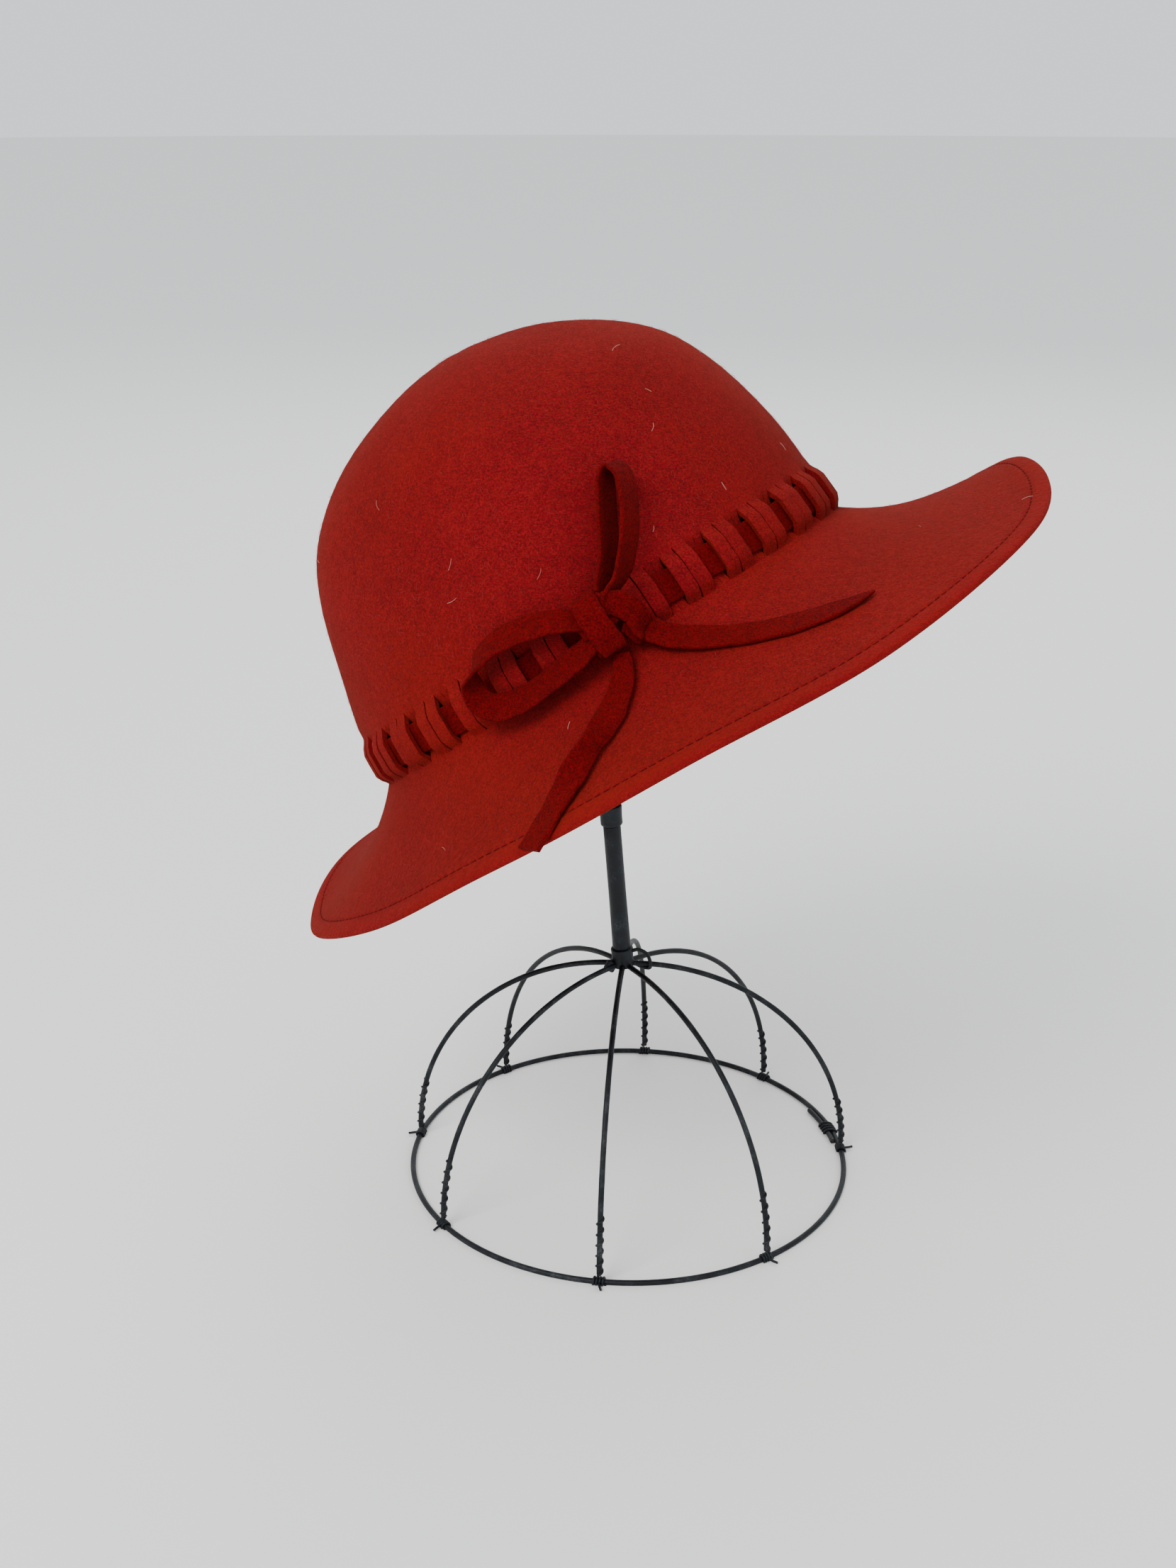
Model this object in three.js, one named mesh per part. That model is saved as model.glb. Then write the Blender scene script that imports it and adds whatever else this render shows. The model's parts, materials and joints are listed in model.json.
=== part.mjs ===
// A wool-felt cloche hat with a slit-and-laced band, tipped on a plain wire hat stand.
// Millimetres, +Z up, the stand's ring on z = 0, the hat's bow towards -Y.
import * as THREE from "three";

// ---------------------------------------------------------------- driving dimensions
const FELT = 2;                     // thickness of the blocked felt
const CROWN_RADIUS = 96.5;          // half the crown's length at the brim, front to back
const CROWN_NARROW = 0.87;          // crown width over crown length
const SLIT_PAIRS = 33;              // raised strips and sunk strips round the crown
const RAISED_WIDTH = 10.4;          // a raised strip, which passes over the lace
const SLIT = 0.4;                   // gap of a cut slit
const RAISE = 2.6;                  // how far a raised strip stands out
const SINK = 1.6;                   // how far a sunk strip stands in
const LACE_WIDTH = 11;
const LACE_THICK = 1.5;
const LACE_LIFT = 0.5;              // the lace's middle, out from the felt's middle
const BOW_WIDTH = 9.5;              // the same lace, drawn narrower where it is tied
const GAP = 0.3;                    // clearance where pieces meet
const WIRE = 2.2;                   // stand wire diameter
const RING_RADIUS = 88.4;            // base ring, to the middle of its wire
const POST_RADIUS = 3.5;
const COLLAR_RADIUS = 4.4;
const COLLAR_HEIGHT = 8;
const HUB_Z = 87.5;                  // underside of the lower collar
const BOW_AZIMUTH = -Math.PI / 2;

// The crown's meridian from its top to the brim, measured square to the hat's base.
const CROWN = [
  { height: 120, radius: 0, shift: 3.6 },
  { height: 119.5, radius: 12, shift: 3.4 },
  { height: 113, radius: 38, shift: 2 },
  { height: 101, radius: 59, shift: 1.8 },
  { height: 90, radius: 71, shift: 1.7 },
  { height: 77, radius: 82, shift: 1.6 },
  { height: 45, radius: 91, shift: 1.9 },
  { height: 19.5, radius: 95.5, shift: 0.3 },
  { height: 0, radius: CROWN_RADIUS, shift: 0.5 },
];
const TOP_ROW = 1;
const BAND_ROW = 7;
const BRIM_ROW = 8;

// The brim every 30 degrees from the front (+X) towards the far side.
// reach: out from the crown.  tuck: steep fall beside the crown.  slope: fall to the edge.
const BRIM = [
  { reach: 68, tuck: 13, slope: 8 },
  { reach: 65, tuck: 13, slope: 8 },
  { reach: 62, tuck: 13, slope: 8 },
  { reach: 60, tuck: 13, slope: 6 },
  { reach: 60, tuck: 13, slope: 4 },
  { reach: 61, tuck: 13, slope: 5 },
  { reach: 56, tuck: 13, slope: 17 },
  { reach: 46, tuck: 12, slope: 25 },
  { reach: 43, tuck: 12, slope: 26 },
  { reach: 46, tuck: 12, slope: 27 },
  { reach: 57, tuck: 12, slope: 31 },
  { reach: 69, tuck: 13, slope: 23 },
];
const TUCK_POWER = 3.5;

// Where the hat sits: the middle of the crown's base, and how it is tipped.
const HAT_PLACE = { x: -7.9, y: 0, z: 218.9 };
const HAT_LEAN = -15.1;             // degrees about X, away from the bow side
const HAT_ROLL = -31.6;             // degrees about Y, front of the brim raised

// ---------------------------------------------------------------- helpers
const group = new THREE.Group();
const hat = new THREE.Group();
const stand = new THREE.Group();
group.add(hat, stand);
hat.position.set(HAT_PLACE.x, HAT_PLACE.y, HAT_PLACE.z);
hat.rotation.set(THREE.MathUtils.degToRad(HAT_LEAN), THREE.MathUtils.degToRad(HAT_ROLL), 0);

const felt = (color) => new THREE.MeshStandardMaterial({ color, roughness: 0.95, metalness: 0 });
const iron = () => new THREE.MeshStandardMaterial({ color: 0x15191f, roughness: 0.55, metalness: 0.4 });

function addMesh(parent, name, geometry, material) {
  const mesh = new THREE.Mesh(geometry, material);
  mesh.name = name;
  parent.add(mesh);
  return mesh;
}

function geometryFrom(points, triangles) {
  const geometry = new THREE.BufferGeometry().setFromPoints(points);
  geometry.setIndex(triangles.flat());
  return geometry;
}

// Smooth periodic value between the rows of a table.
function around(table, column, azimuth) {
  const count = table.length;
  const place = THREE.MathUtils.euclideanModulo(azimuth / (2 * Math.PI), 1) * count;
  const row = Math.floor(place);
  const t = place - row;
  const [a, b, c, d] = [-1, 0, 1, 2].map((step) => table[(row + step + count) % count][column]);
  return 0.5 * (2 * b + (c - a) * t + (2 * a - 5 * b + 4 * c - d) * t * t
    + (3 * b - a - 3 * c + d) * t * t * t);
}

// ---------------------------------------------------------------- the hat's surface
const meridian = new THREE.CatmullRomCurve3(
  CROWN.map((row) => new THREE.Vector3(row.radius, row.shift, row.height)), false, "catmullrom", 0.5);

// Middle of the felt. row 0 to 8 runs down the crown table, 8 to 9 runs out along the brim.
function hatPoint(azimuth, row) {
  const cos = Math.cos(azimuth);
  const sin = Math.sin(azimuth);
  const { x: radius, y: shift, z: height } = meridian.getPoint(Math.min(row, BRIM_ROW) / BRIM_ROW);
  const point = new THREE.Vector3(radius * cos + shift, CROWN_NARROW * radius * sin, height);
  if (row > BRIM_ROW) {
    const out = row - BRIM_ROW;
    const reach = around(BRIM, "reach", azimuth) * out;
    const fall = around(BRIM, "tuck", azimuth) * (1 - (1 - Math.min(out, 1)) ** TUCK_POWER)
      + around(BRIM, "slope", azimuth) * out;
    const outward = new THREE.Vector3(cos, sin / CROWN_NARROW, 0).normalize();
    point.addScaledVector(outward, reach);
    point.z -= fall;
  }
  return point;
}

function hatNormal(azimuth, row) {
  const step = 0.01;
  const down = hatPoint(azimuth, row + step).sub(hatPoint(azimuth, Math.max(row - step, 0)));
  const turn = hatPoint(azimuth + step, row).sub(hatPoint(azimuth - step, row));
  return down.cross(turn).normalize();
}

function offHat(azimuth, row, lift) {
  return hatPoint(azimuth, row).addScaledVector(hatNormal(azimuth, row), lift);
}

// Azimuth at a length of arc round the crown, measured from the bow.
const ARC_STEPS = 1440;
const arcTable = [{ arc: 0, azimuth: BOW_AZIMUTH }];
for (let i = 1; i <= ARC_STEPS; i += 1) {
  const azimuth = BOW_AZIMUTH + (2 * Math.PI * i) / ARC_STEPS;
  const last = arcTable[i - 1];
  const length = hatPoint(azimuth, BRIM_ROW).distanceTo(hatPoint(last.azimuth, BRIM_ROW));
  arcTable.push({ arc: last.arc + length, azimuth });
}
const PERIMETER = arcTable[ARC_STEPS].arc;
function azimuthAt(arc) {
  const turns = Math.floor(arc / PERIMETER);
  const rest = arc - turns * PERIMETER;
  const next = Math.max(arcTable.findIndex((entry) => entry.arc > rest), 1);
  const [low, high] = [arcTable[next - 1], arcTable[next]];
  const t = (rest - low.arc) / (high.arc - low.arc);
  return low.azimuth + t * (high.azimuth - low.azimuth) + turns * 2 * Math.PI;
}

// ---------------------------------------------------------------- felt hood
// Columns: raised strip, slit, sunk strip, slit, all round.
const PITCH = PERIMETER / SLIT_PAIRS;
const fineAzimuths = [];
for (let pair = 0; pair < SLIT_PAIRS; pair += 1) {
  const start = pair * PITCH - RAISED_WIDTH / 2;
  const edges = [start, start + RAISED_WIDTH, start + RAISED_WIDTH + SLIT, start + PITCH - SLIT];
  fineAzimuths.push(...edges.map(azimuthAt));
}
const FINE = fineAzimuths.length;
const COARSE = FINE / 2;
const coarseAzimuths = fineAzimuths.filter((_, i) => i % 2 === 0);
const CROWN_ROWS = [TOP_ROW, 2, 2.5, 3, 3.5, 4, 4.5, 5, 5.5, 6, 6.5];
const BAND_STEPS = [
  { along: 0, bulge: 0 },
  { along: 0.11, bulge: 0.65 },
  { along: 0.21, bulge: 1 },
  { along: 0.79, bulge: 1 },
  { along: 0.89, bulge: 0.65 },
  { along: 1, bulge: 0 },
];
const BRIM_STEPS = [0.08, 0.2, 0.36, 0.54, 0.72, 0.88, 1];

function stripLift(column) {
  return Math.floor(column / 2) % 2 === 0 ? RAISE : -SINK;
}

function makeHood() {
  const points = [];
  const triangles = [];
  const addPoint = (point) => points.push(point) - 1;
  // A row of vertex pairs, one on the outside of the felt and one on the inside.
  const addRow = (azimuths, row, lift) => azimuths.map((azimuth, column) => {
    const middle = lift(column);
    return {
      out: addPoint(offHat(azimuth, row, middle + FELT / 2)),
      in: addPoint(offHat(azimuth, row, middle - FELT / 2)),
    };
  });
  const face = (a, b, c) => {
    triangles.push([a.out, b.out, c.out], [a.in, c.in, b.in]);
  };
  const wall = (a, b) => {
    triangles.push([a.out, a.in, b.in], [a.out, b.in, b.out]);
  };
  const level = () => 0;

  const crownRows = CROWN_ROWS.map((row) => addRow(coarseAzimuths, row, level));
  const bandRows = BAND_STEPS.map((step) => addRow(fineAzimuths,
    BAND_ROW + step.along * (BRIM_ROW - BAND_ROW), (column) => stripLift(column) * step.bulge));
  const brimRows = BRIM_STEPS.map((out) => addRow(coarseAzimuths, BRIM_ROW + out, level));

  const pole = {
    out: addPoint(hatPoint(0, 0).add(new THREE.Vector3(0, 0, FELT / 2))),
    in: addPoint(hatPoint(0, 0).sub(new THREE.Vector3(0, 0, FELT / 2))),
  };
  for (let i = 0; i < COARSE; i += 1) {
    const next = (i + 1) % COARSE;
    face(pole, crownRows[0][i], crownRows[0][next]);
    for (const rows of [crownRows, brimRows]) {
      for (let j = 0; j + 1 < rows.length; j += 1) {
        face(rows[j][i], rows[j + 1][i], rows[j + 1][next]);
        face(rows[j][i], rows[j + 1][next], rows[j][next]);
      }
    }
    // Above and below the slits each wide column meets a strip and a slit.
    const [left, middle, right] = [2 * i, 2 * i + 1, (2 * i + 2) % FINE];
    const above = crownRows.at(-1);
    const first = bandRows[0];
    face(above[i], first[left], first[middle]);
    face(above[i], first[middle], above[next]);
    face(above[next], first[middle], first[right]);
    const last = bandRows.at(-1);
    const below = brimRows[0];
    face(last[left], below[i], last[middle]);
    face(last[middle], below[i], below[next]);
    face(last[middle], below[next], last[right]);
    // The strip, its two cut sides, and the ends of the slit beside it.
    for (let j = 0; j + 1 < bandRows.length; j += 1) {
      const [top, low] = [bandRows[j], bandRows[j + 1]];
      face(top[left], low[left], low[middle]);
      face(top[left], low[middle], top[middle]);
      wall(low[middle], top[middle]);
      wall(top[right], low[right]);
    }
    wall(first[middle], first[right]);
    wall(last[right], last[middle]);
    const edge = brimRows.at(-1);
    wall(edge[i], edge[next]);
  }
  return geometryFrom(points, triangles);
}

addMesh(hat, "felt_hood", makeHood(), felt(0x94181a));

// ---------------------------------------------------------------- lace round the crown
const BAND_HEIGHT = CROWN[BAND_ROW].height - CROWN[BRIM_ROW].height;
function makeLaceBand() {
  const half = LACE_WIDTH / BAND_HEIGHT / 2;
  const corners = [
    { row: BAND_ROW + 0.5 - half, lift: LACE_LIFT + LACE_THICK / 2 },
    { row: BAND_ROW + 0.5 + half, lift: LACE_LIFT + LACE_THICK / 2 },
    { row: BAND_ROW + 0.5 + half, lift: LACE_LIFT - LACE_THICK / 2 },
    { row: BAND_ROW + 0.5 - half, lift: LACE_LIFT - LACE_THICK / 2 },
  ];
  const points = [];
  for (let i = 0; i < COARSE; i += 1) {
    const after = fineAzimuths[2 * i + 2] ?? fineAzimuths[0] + 2 * Math.PI;
    const azimuth = (fineAzimuths[2 * i + 1] + after) / 2;
    points.push(...corners.map((corner) => offHat(azimuth, corner.row, corner.lift)));
  }
  return geometryFrom(points, loopTriangles(COARSE, corners.length, true));
}

// Triangles between rings of points that follow each other, closed or with end caps.
function loopTriangles(rings, sides, closed) {
  const triangles = [];
  const last = closed ? rings : rings - 1;
  for (let i = 0; i < last; i += 1) {
    const next = (i + 1) % rings;
    for (let k = 0; k < sides; k += 1) {
      const side = (k + 1) % sides;
      const [a, b] = [i * sides + k, i * sides + side];
      const [c, d] = [next * sides + k, next * sides + side];
      triangles.push([a, b, d], [a, d, c]);
    }
  }
  if (!closed) {
    const end = (rings - 1) * sides;
    for (let k = 1; k + 1 < sides; k += 1) {
      triangles.push([0, k + 1, k], [end, end + k, end + k + 1]);
    }
  }
  return triangles;
}

addMesh(hat, "lace_band", makeLaceBand(), felt(0x6b0a0c));

// ---------------------------------------------------------------- bow
// Places on the hat near the bow: right along the band, up the crown, lift off the felt.
const ABOVE_SPAN = CROWN[BAND_ROW - 1].height - CROWN[BAND_ROW].height;
const BRIM_SPAN = 50;
function rowAt(up) {
  const half = BAND_HEIGHT / 2;
  if (up > half) {
    return BAND_ROW - (up - half) / ABOVE_SPAN;
  }
  if (up < -half) {
    return BRIM_ROW + (-half - up) / BRIM_SPAN;
  }
  return BAND_ROW + 0.5 - up / BAND_HEIGHT;
}

function bowPlace({ right, up, lift }) {
  return offHat(azimuthAt(right), rowAt(up), lift);
}

function bowDirections({ right, up }) {
  const azimuth = azimuthAt(right);
  const outward = hatNormal(azimuth, rowAt(up));
  const rightward = hatPoint(azimuth + 0.01, BRIM_ROW);
  rightward.sub(hatPoint(azimuth - 0.01, BRIM_ROW)).normalize();
  const upward = outward.clone().cross(rightward).normalize();
  return { outward, rightward, upward };
}

// A solid swept through stations. outline: corners across the strip (width, thickness).
// lay: the direction of the strip's width at a station; wide and twist are per station.
function sweep(stations, outline, lay) {
  const places = stations.map(bowPlace);
  const route = new THREE.CatmullRomCurve3(places, false, "centripetal");
  const points = [];
  stations.forEach((station, i) => {
    const along = route.getTangent(i / (stations.length - 1));
    const width = lay(station, along);
    width.addScaledVector(along, -width.dot(along)).normalize();
    width.applyAxisAngle(along, THREE.MathUtils.degToRad(station.twist ?? 0));
    const thick = along.clone().cross(width);
    for (const corner of outline) {
      points.push(places[i].clone()
        .addScaledVector(width, corner.width * (station.wide ?? 1))
        .addScaledVector(thick, corner.thick * (station.deep ?? 1)));
    }
  });
  return geometryFrom(points, loopTriangles(stations.length, outline.length, false));
}

// More stations between those of a table, on a smooth curve through each column.
function refine(table, times) {
  const columns = Object.keys(table[0]);
  const rows = [];
  for (let i = 0; i <= (table.length - 1) * times; i += 1) {
    const row = {};
    for (const column of columns) {
      const heights = table.map((entry) => new THREE.Vector3(entry[column], 0, 0));
      const curve = new THREE.CatmullRomCurve3(heights, false, "catmullrom", 0.5);
      row[column] = curve.getPoint(i / ((table.length - 1) * times)).x;
    }
    rows.push(row);
  }
  return rows;
}

const LACE_OUTLINE = [
  { width: -BOW_WIDTH / 2, thick: -LACE_THICK / 2 },
  { width: BOW_WIDTH / 2, thick: -LACE_THICK / 2 },
  { width: BOW_WIDTH / 2, thick: LACE_THICK / 2 },
  { width: -BOW_WIDTH / 2, thick: LACE_THICK / 2 },
];

// Each loop's width leans the same way along its whole length.
function leaning(right, up, out) {
  return (station) => {
    const { outward, rightward, upward } = bowDirections(station);
    return rightward.multiplyScalar(right).addScaledVector(upward, up).addScaledVector(outward, out);
  };
}

// A tail lies with its width along the felt.
function lyingFlat(station, along) {
  return bowDirections(station).outward.cross(along);
}

const SIDE_LOOP = [
  { right: -7.2, up: 6.2, lift: 8.8 },
  { right: -13, up: 9.5, lift: 9 },
  { right: -25, up: 12.5, lift: 9 },
  { right: -34.5, up: 12, lift: 9 },
  { right: -42, up: 7.5, lift: 9 },
  { right: -44, up: 1, lift: 9 },
  { right: -40.5, up: -4.5, lift: 8.8 },
  { right: -31.5, up: -7, lift: 8.6 },
  { right: -20, up: -6, lift: 8.6 },
  { right: -11, up: -4.5, lift: 8.7 },
  { right: -7.2, up: -3.6, lift: 8.8 },
];
const UP_LOOP = [
  { right: 6.9, up: 6.5, lift: 9.8 },
  { right: 14.5, up: 10.5, lift: 11.2 },
  { right: 21, up: 19, lift: 12.5 },
  { right: 27, up: 29, lift: 12.5 },
  { right: 30, up: 36, lift: 12 },
  { right: 29, up: 39.5, lift: 10.2 },
  { right: 25, up: 37, lift: 8.2 },
  { right: 19, up: 28, lift: 7.2 },
  { right: 13.5, up: 18, lift: 7.4 },
  { right: 8.5, up: 11.5, lift: 8.2 },
];
const FRONT_TAIL = [
  { right: 8.2, up: -3.6, lift: 8.6, wide: 0.8 },
  { right: 9.8, up: -7.4, lift: 8, wide: 0.9 },
  { right: 12, up: -11.5, lift: 6.5, wide: 0.95 },
  { right: 16, up: -16, lift: 4.2, wide: 1 },
  { right: 22, up: -21, lift: 3, wide: 1 },
  { right: 32, up: -28, lift: 2.4, wide: 1 },
  { right: 42, up: -33.5, lift: 2.4, wide: 1 },
  { right: 53, up: -36.5, lift: 2.4, wide: 0.9 },
  { right: 63, up: -38.5, lift: 2.6, wide: 0.15 },
];
const DOWN_TAIL = [
  { right: 1, up: -14.8, lift: 4.6, wide: 0.7, twist: 0 },
  { right: -1.7, up: -18, lift: 4, wide: 0.9, twist: 0 },
  { right: -8, up: -25, lift: 4, wide: 1, twist: -12 },
  { right: -13, up: -30.5, lift: 5.2, wide: 1, twist: -40 },
  { right: -18, up: -36, lift: 6.2, wide: 0.9, twist: -62 },
  { right: -23.5, up: -41, lift: 5.4, wide: 1, twist: -40 },
  { right: -29, up: -46, lift: 3.6, wide: 1, twist: -12 },
  { right: -34, up: -52, lift: 2.5, wide: 1, twist: 0 },
  { right: -38, up: -59, lift: 2.4, wide: 1, twist: 0 },
];
const KNOT = [
  { right: 0, up: 9.3, lift: 6.8, wide: 0.5, deep: 0.5 },
  { right: 0, up: 8.2, lift: 7.4, wide: 0.85, deep: 0.85 },
  { right: 0, up: 4, lift: 7.8, wide: 1, deep: 1 },
  { right: 0, up: -4, lift: 7.8, wide: 1, deep: 1 },
  { right: 0, up: -9, lift: 7.4, wide: 0.85, deep: 0.85 },
  { right: 0, up: -10.2, lift: 6.8, wide: 0.5, deep: 0.5 },
];
const KNOT_HALF = { width: 4.4, thick: 3.2, corner: 1.4 };
const KNOT_OUTLINE = [[-1, -1], [1, -1], [1, 1], [-1, 1]].flatMap(([w, t]) => {
  const { width, thick, corner } = KNOT_HALF;
  const side = { width: w * width, thick: t * (thick - corner) };
  const face = { width: w * (width - corner), thick: t * thick };
  return w * t > 0 ? [side, face] : [face, side];
}).map((corner, i, all) => all[(i + 1) % all.length]);

const BOW_COLOUR = 0x6e0608;
function addLace(name, table, lay) {
  addMesh(hat, name, sweep(refine(table, 2), LACE_OUTLINE, lay), felt(BOW_COLOUR));
}
addMesh(hat, "bow_knot", sweep(KNOT, KNOT_OUTLINE, leaning(1, 0, 0)), felt(BOW_COLOUR));
addLace("bow_loop_side", SIDE_LOOP, leaning(-0.45, -0.4, 0.8));
addLace("bow_loop_up", UP_LOOP, leaning(-0.77, 0, 0.64));
addLace("bow_tail_front", FRONT_TAIL, lyingFlat);
addLace("bow_tail_down", DOWN_TAIL, lyingFlat);

// ---------------------------------------------------------------- stand
const HUB_X = -2.5;
const UPRIGHT_LEAN = -0.08;         // radians about Y
const TUBE_SIDES = 7;
const WIRE_FLAT = THREE.MathUtils.degToRad(50);
const RING_MIDDLE = (WIRE / 2) * Math.sin(WIRE_FLAT);

// The ring's wire is filed flat underneath, so that it stands firmly.
function makeRing() {
  const profile = [];
  const steps = 6;
  for (let i = 0; i <= steps; i += 1) {
    const angle = -WIRE_FLAT + ((Math.PI + 2 * WIRE_FLAT) * i) / steps;
    const out = RING_RADIUS + (WIRE / 2) * Math.cos(angle);
    profile.push(new THREE.Vector2(out, RING_MIDDLE + (WIRE / 2) * Math.sin(angle)));
  }
  profile.push(profile[0].clone());
  return new THREE.LatheGeometry(profile, 48).rotateX(Math.PI / 2);
}
addMesh(stand, "base_ring", makeRing(), iron());

function wireAlong(points, radius, steps) {
  const path = new THREE.CatmullRomCurve3(points, false, "centripetal");
  const round = new THREE.Shape();
  for (let i = 0; i < TUBE_SIDES; i += 1) {
    const angle = (2 * Math.PI * i) / TUBE_SIDES;
    const move = i === 0 ? "moveTo" : "lineTo";
    round[move](radius * Math.cos(angle), radius * Math.sin(angle));
  }
  return new THREE.ExtrudeGeometry(round, { steps, extrudePath: path });
}

// A rib is a quarter of an ellipse, from the collar's foot over and down to the ring.
const RIB_TOP = HUB_Z + 1;
const RIB_START = 6.2;              // out from the collar's middle
const RIB_FOOT = 4.1;               // above the floor, clear of the ring
const RIB_STEPS = 12;
function ribRoute() {
  const first = Math.asin(RIB_START / RING_RADIUS);
  return Array.from({ length: RIB_STEPS + 1 }, (_, i) => {
    const angle = first + ((Math.PI / 2 - first) * i) / RIB_STEPS;
    return {
      out: RING_RADIUS * Math.sin(angle),
      height: RIB_FOOT + (RIB_TOP - RIB_FOOT) * Math.cos(angle),
    };
  });
}
const RIB_AZIMUTHS = [-98, -55, 3, 46, 84, 127, 169, 215];
const TIE_LENGTH = 5;
const TIE_WALL = 0.8;
const TIE_OPEN = THREE.MathUtils.degToRad(15);

function makeTie() {
  const inner = WIRE / 2 + 1.5 * GAP;
  const shape = new THREE.Shape();
  shape.absarc(0, 0, inner + TIE_WALL, -TIE_OPEN, Math.PI + TIE_OPEN, false);
  shape.absarc(0, 0, inner, Math.PI + TIE_OPEN, -TIE_OPEN, true);
  shape.closePath();
  const length = { depth: TIE_LENGTH, bevelEnabled: false, curveSegments: 6 };
  const tie = new THREE.ExtrudeGeometry(shape, length);
  return tie.translate(0, 0, -TIE_LENGTH / 2).rotateX(Math.PI / 2);
}

RIB_AZIMUTHS.forEach((degrees, i) => {
  const azimuth = THREE.MathUtils.degToRad(degrees);
  const points = ribRoute().map(({ out, height }) => {
    const hubShare = 1 - out / RING_RADIUS;
    const x = HUB_X * hubShare + out * Math.cos(azimuth);
    return new THREE.Vector3(x, out * Math.sin(azimuth), height);
  });
  addMesh(stand, `rib_${i + 1}`, wireAlong(points, WIRE / 2, RIB_STEPS), iron());
  const tie = addMesh(stand, `rib_tie_${i + 1}`, makeTie(), iron());
  tie.position.set(RING_RADIUS * Math.cos(azimuth), RING_RADIUS * Math.sin(azimuth), RING_MIDDLE);
  tie.rotation.z = azimuth;
});

// Collar, post, collar and crown rest, one above the other on a slightly leaning upright.
const upright = new THREE.Group();
upright.position.set(HUB_X, 0, HUB_Z);
upright.rotation.y = UPRIGHT_LEAN;
stand.add(upright);
const POST_LENGTH = 52;
const STEM_RADIUS = 3.5;
const REST_RADIUS = 34;
const REST_DEPTH = 22;              // how far the dome's rim hangs below its top
const REST_WALL = 4;
const REST_TOP = 243.8;

function turned(profile, sides) {
  const outline = profile.map(([radius, height]) => new THREE.Vector2(radius, height));
  return new THREE.LatheGeometry(outline, sides).rotateX(Math.PI / 2);
}
function addTurned(name, bottom, profile, sides) {
  const mesh = addMesh(upright, name, turned(profile, sides), iron());
  mesh.position.z = bottom;
}
function rod(radius, length) {
  return [[0, 0], [radius, 0], [radius, length], [0, length]];
}
addTurned("base_collar", 0, rod(COLLAR_RADIUS, COLLAR_HEIGHT), 16);
addTurned("post", COLLAR_HEIGHT + GAP, rod(POST_RADIUS, POST_LENGTH), 16);
const TOP_COLLAR = COLLAR_HEIGHT + POST_LENGTH + 2 * GAP;
addTurned("top_collar", TOP_COLLAR, rod(COLLAR_RADIUS, COLLAR_HEIGHT), 16);

// The hidden head: a stem with a thin dome that carries the crown from inside.
function restProfile(stem) {
  const arc = (radius, depth, height, from, to) => {
    const steps = 6;
    return Array.from({ length: steps + 1 }, (_, i) => {
      const angle = from + ((to - from) * i) / steps;
      return [radius * Math.sin(angle), height - depth * (1 - Math.cos(angle))];
    });
  };
  const under = arc(REST_RADIUS - REST_WALL, REST_DEPTH, stem - REST_WALL, 0.15, Math.PI / 2);
  const over = arc(REST_RADIUS, REST_DEPTH, stem, Math.PI / 2, 0);
  return [[0, 0], [STEM_RADIUS, 0], [STEM_RADIUS, stem - REST_WALL - 1], ...under, ...over];
}
const REST_BOTTOM = TOP_COLLAR + COLLAR_HEIGHT + GAP;
addTurned("crown_rest", REST_BOTTOM, restProfile(REST_TOP - REST_BOTTOM), 24);

// The origin is below the middle of the whole object, on the surface it stands on.
const box = new THREE.Box3().setFromObject(group, true);
const middle = box.getCenter(new THREE.Vector3());
group.position.set(-middle.x, -middle.y, -box.min.z);

export default group;
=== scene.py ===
# %% [markdown]
# # A laced felt cloche on a wire stand
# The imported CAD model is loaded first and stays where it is. Each visible part of it is then given
# a finer piece that stands in the same place. All lengths are in metres, the stand's ring lies on
# z = 0 and the hat's bow faces -Y.

# %% Load the frame
import json
import math
import bpy
import numpy as np
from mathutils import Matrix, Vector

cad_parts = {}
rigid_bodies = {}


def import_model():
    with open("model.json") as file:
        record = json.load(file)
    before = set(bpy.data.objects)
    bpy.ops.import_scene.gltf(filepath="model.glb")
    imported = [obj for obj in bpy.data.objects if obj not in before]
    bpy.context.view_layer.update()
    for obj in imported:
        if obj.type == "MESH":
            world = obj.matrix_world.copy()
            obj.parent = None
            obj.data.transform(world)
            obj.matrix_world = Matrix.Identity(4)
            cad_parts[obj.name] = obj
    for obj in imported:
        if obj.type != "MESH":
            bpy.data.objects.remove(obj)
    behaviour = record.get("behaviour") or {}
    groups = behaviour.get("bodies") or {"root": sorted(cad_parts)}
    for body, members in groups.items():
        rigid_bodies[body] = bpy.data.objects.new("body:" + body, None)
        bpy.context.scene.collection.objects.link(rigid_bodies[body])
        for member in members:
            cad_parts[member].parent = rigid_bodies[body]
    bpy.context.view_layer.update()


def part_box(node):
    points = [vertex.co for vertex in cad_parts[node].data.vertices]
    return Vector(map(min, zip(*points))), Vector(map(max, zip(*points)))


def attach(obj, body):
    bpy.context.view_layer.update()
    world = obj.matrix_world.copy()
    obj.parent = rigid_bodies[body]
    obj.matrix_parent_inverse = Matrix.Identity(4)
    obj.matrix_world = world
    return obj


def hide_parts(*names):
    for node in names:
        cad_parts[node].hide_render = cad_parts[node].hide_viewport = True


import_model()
MM = 0.001
ROOT = "root"


# %% [markdown]
# ## Helpers for working by hand
# Operators act on everything that is selected, so a piece always starts from an empty selection.
# When a piece is finished its place is applied, so that the object sits at the origin and the
# place is in its mesh. Patterns on Object coordinates then stay where they were drawn.

# %% Selection and finishing
def start_clean():
    if bpy.context.mode != "OBJECT":
        bpy.ops.object.mode_set(mode="OBJECT")
    bpy.ops.object.select_all(action="DESELECT")


def pick(obj):
    start_clean()
    obj.select_set(True)
    bpy.context.view_layer.objects.active = obj


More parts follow.
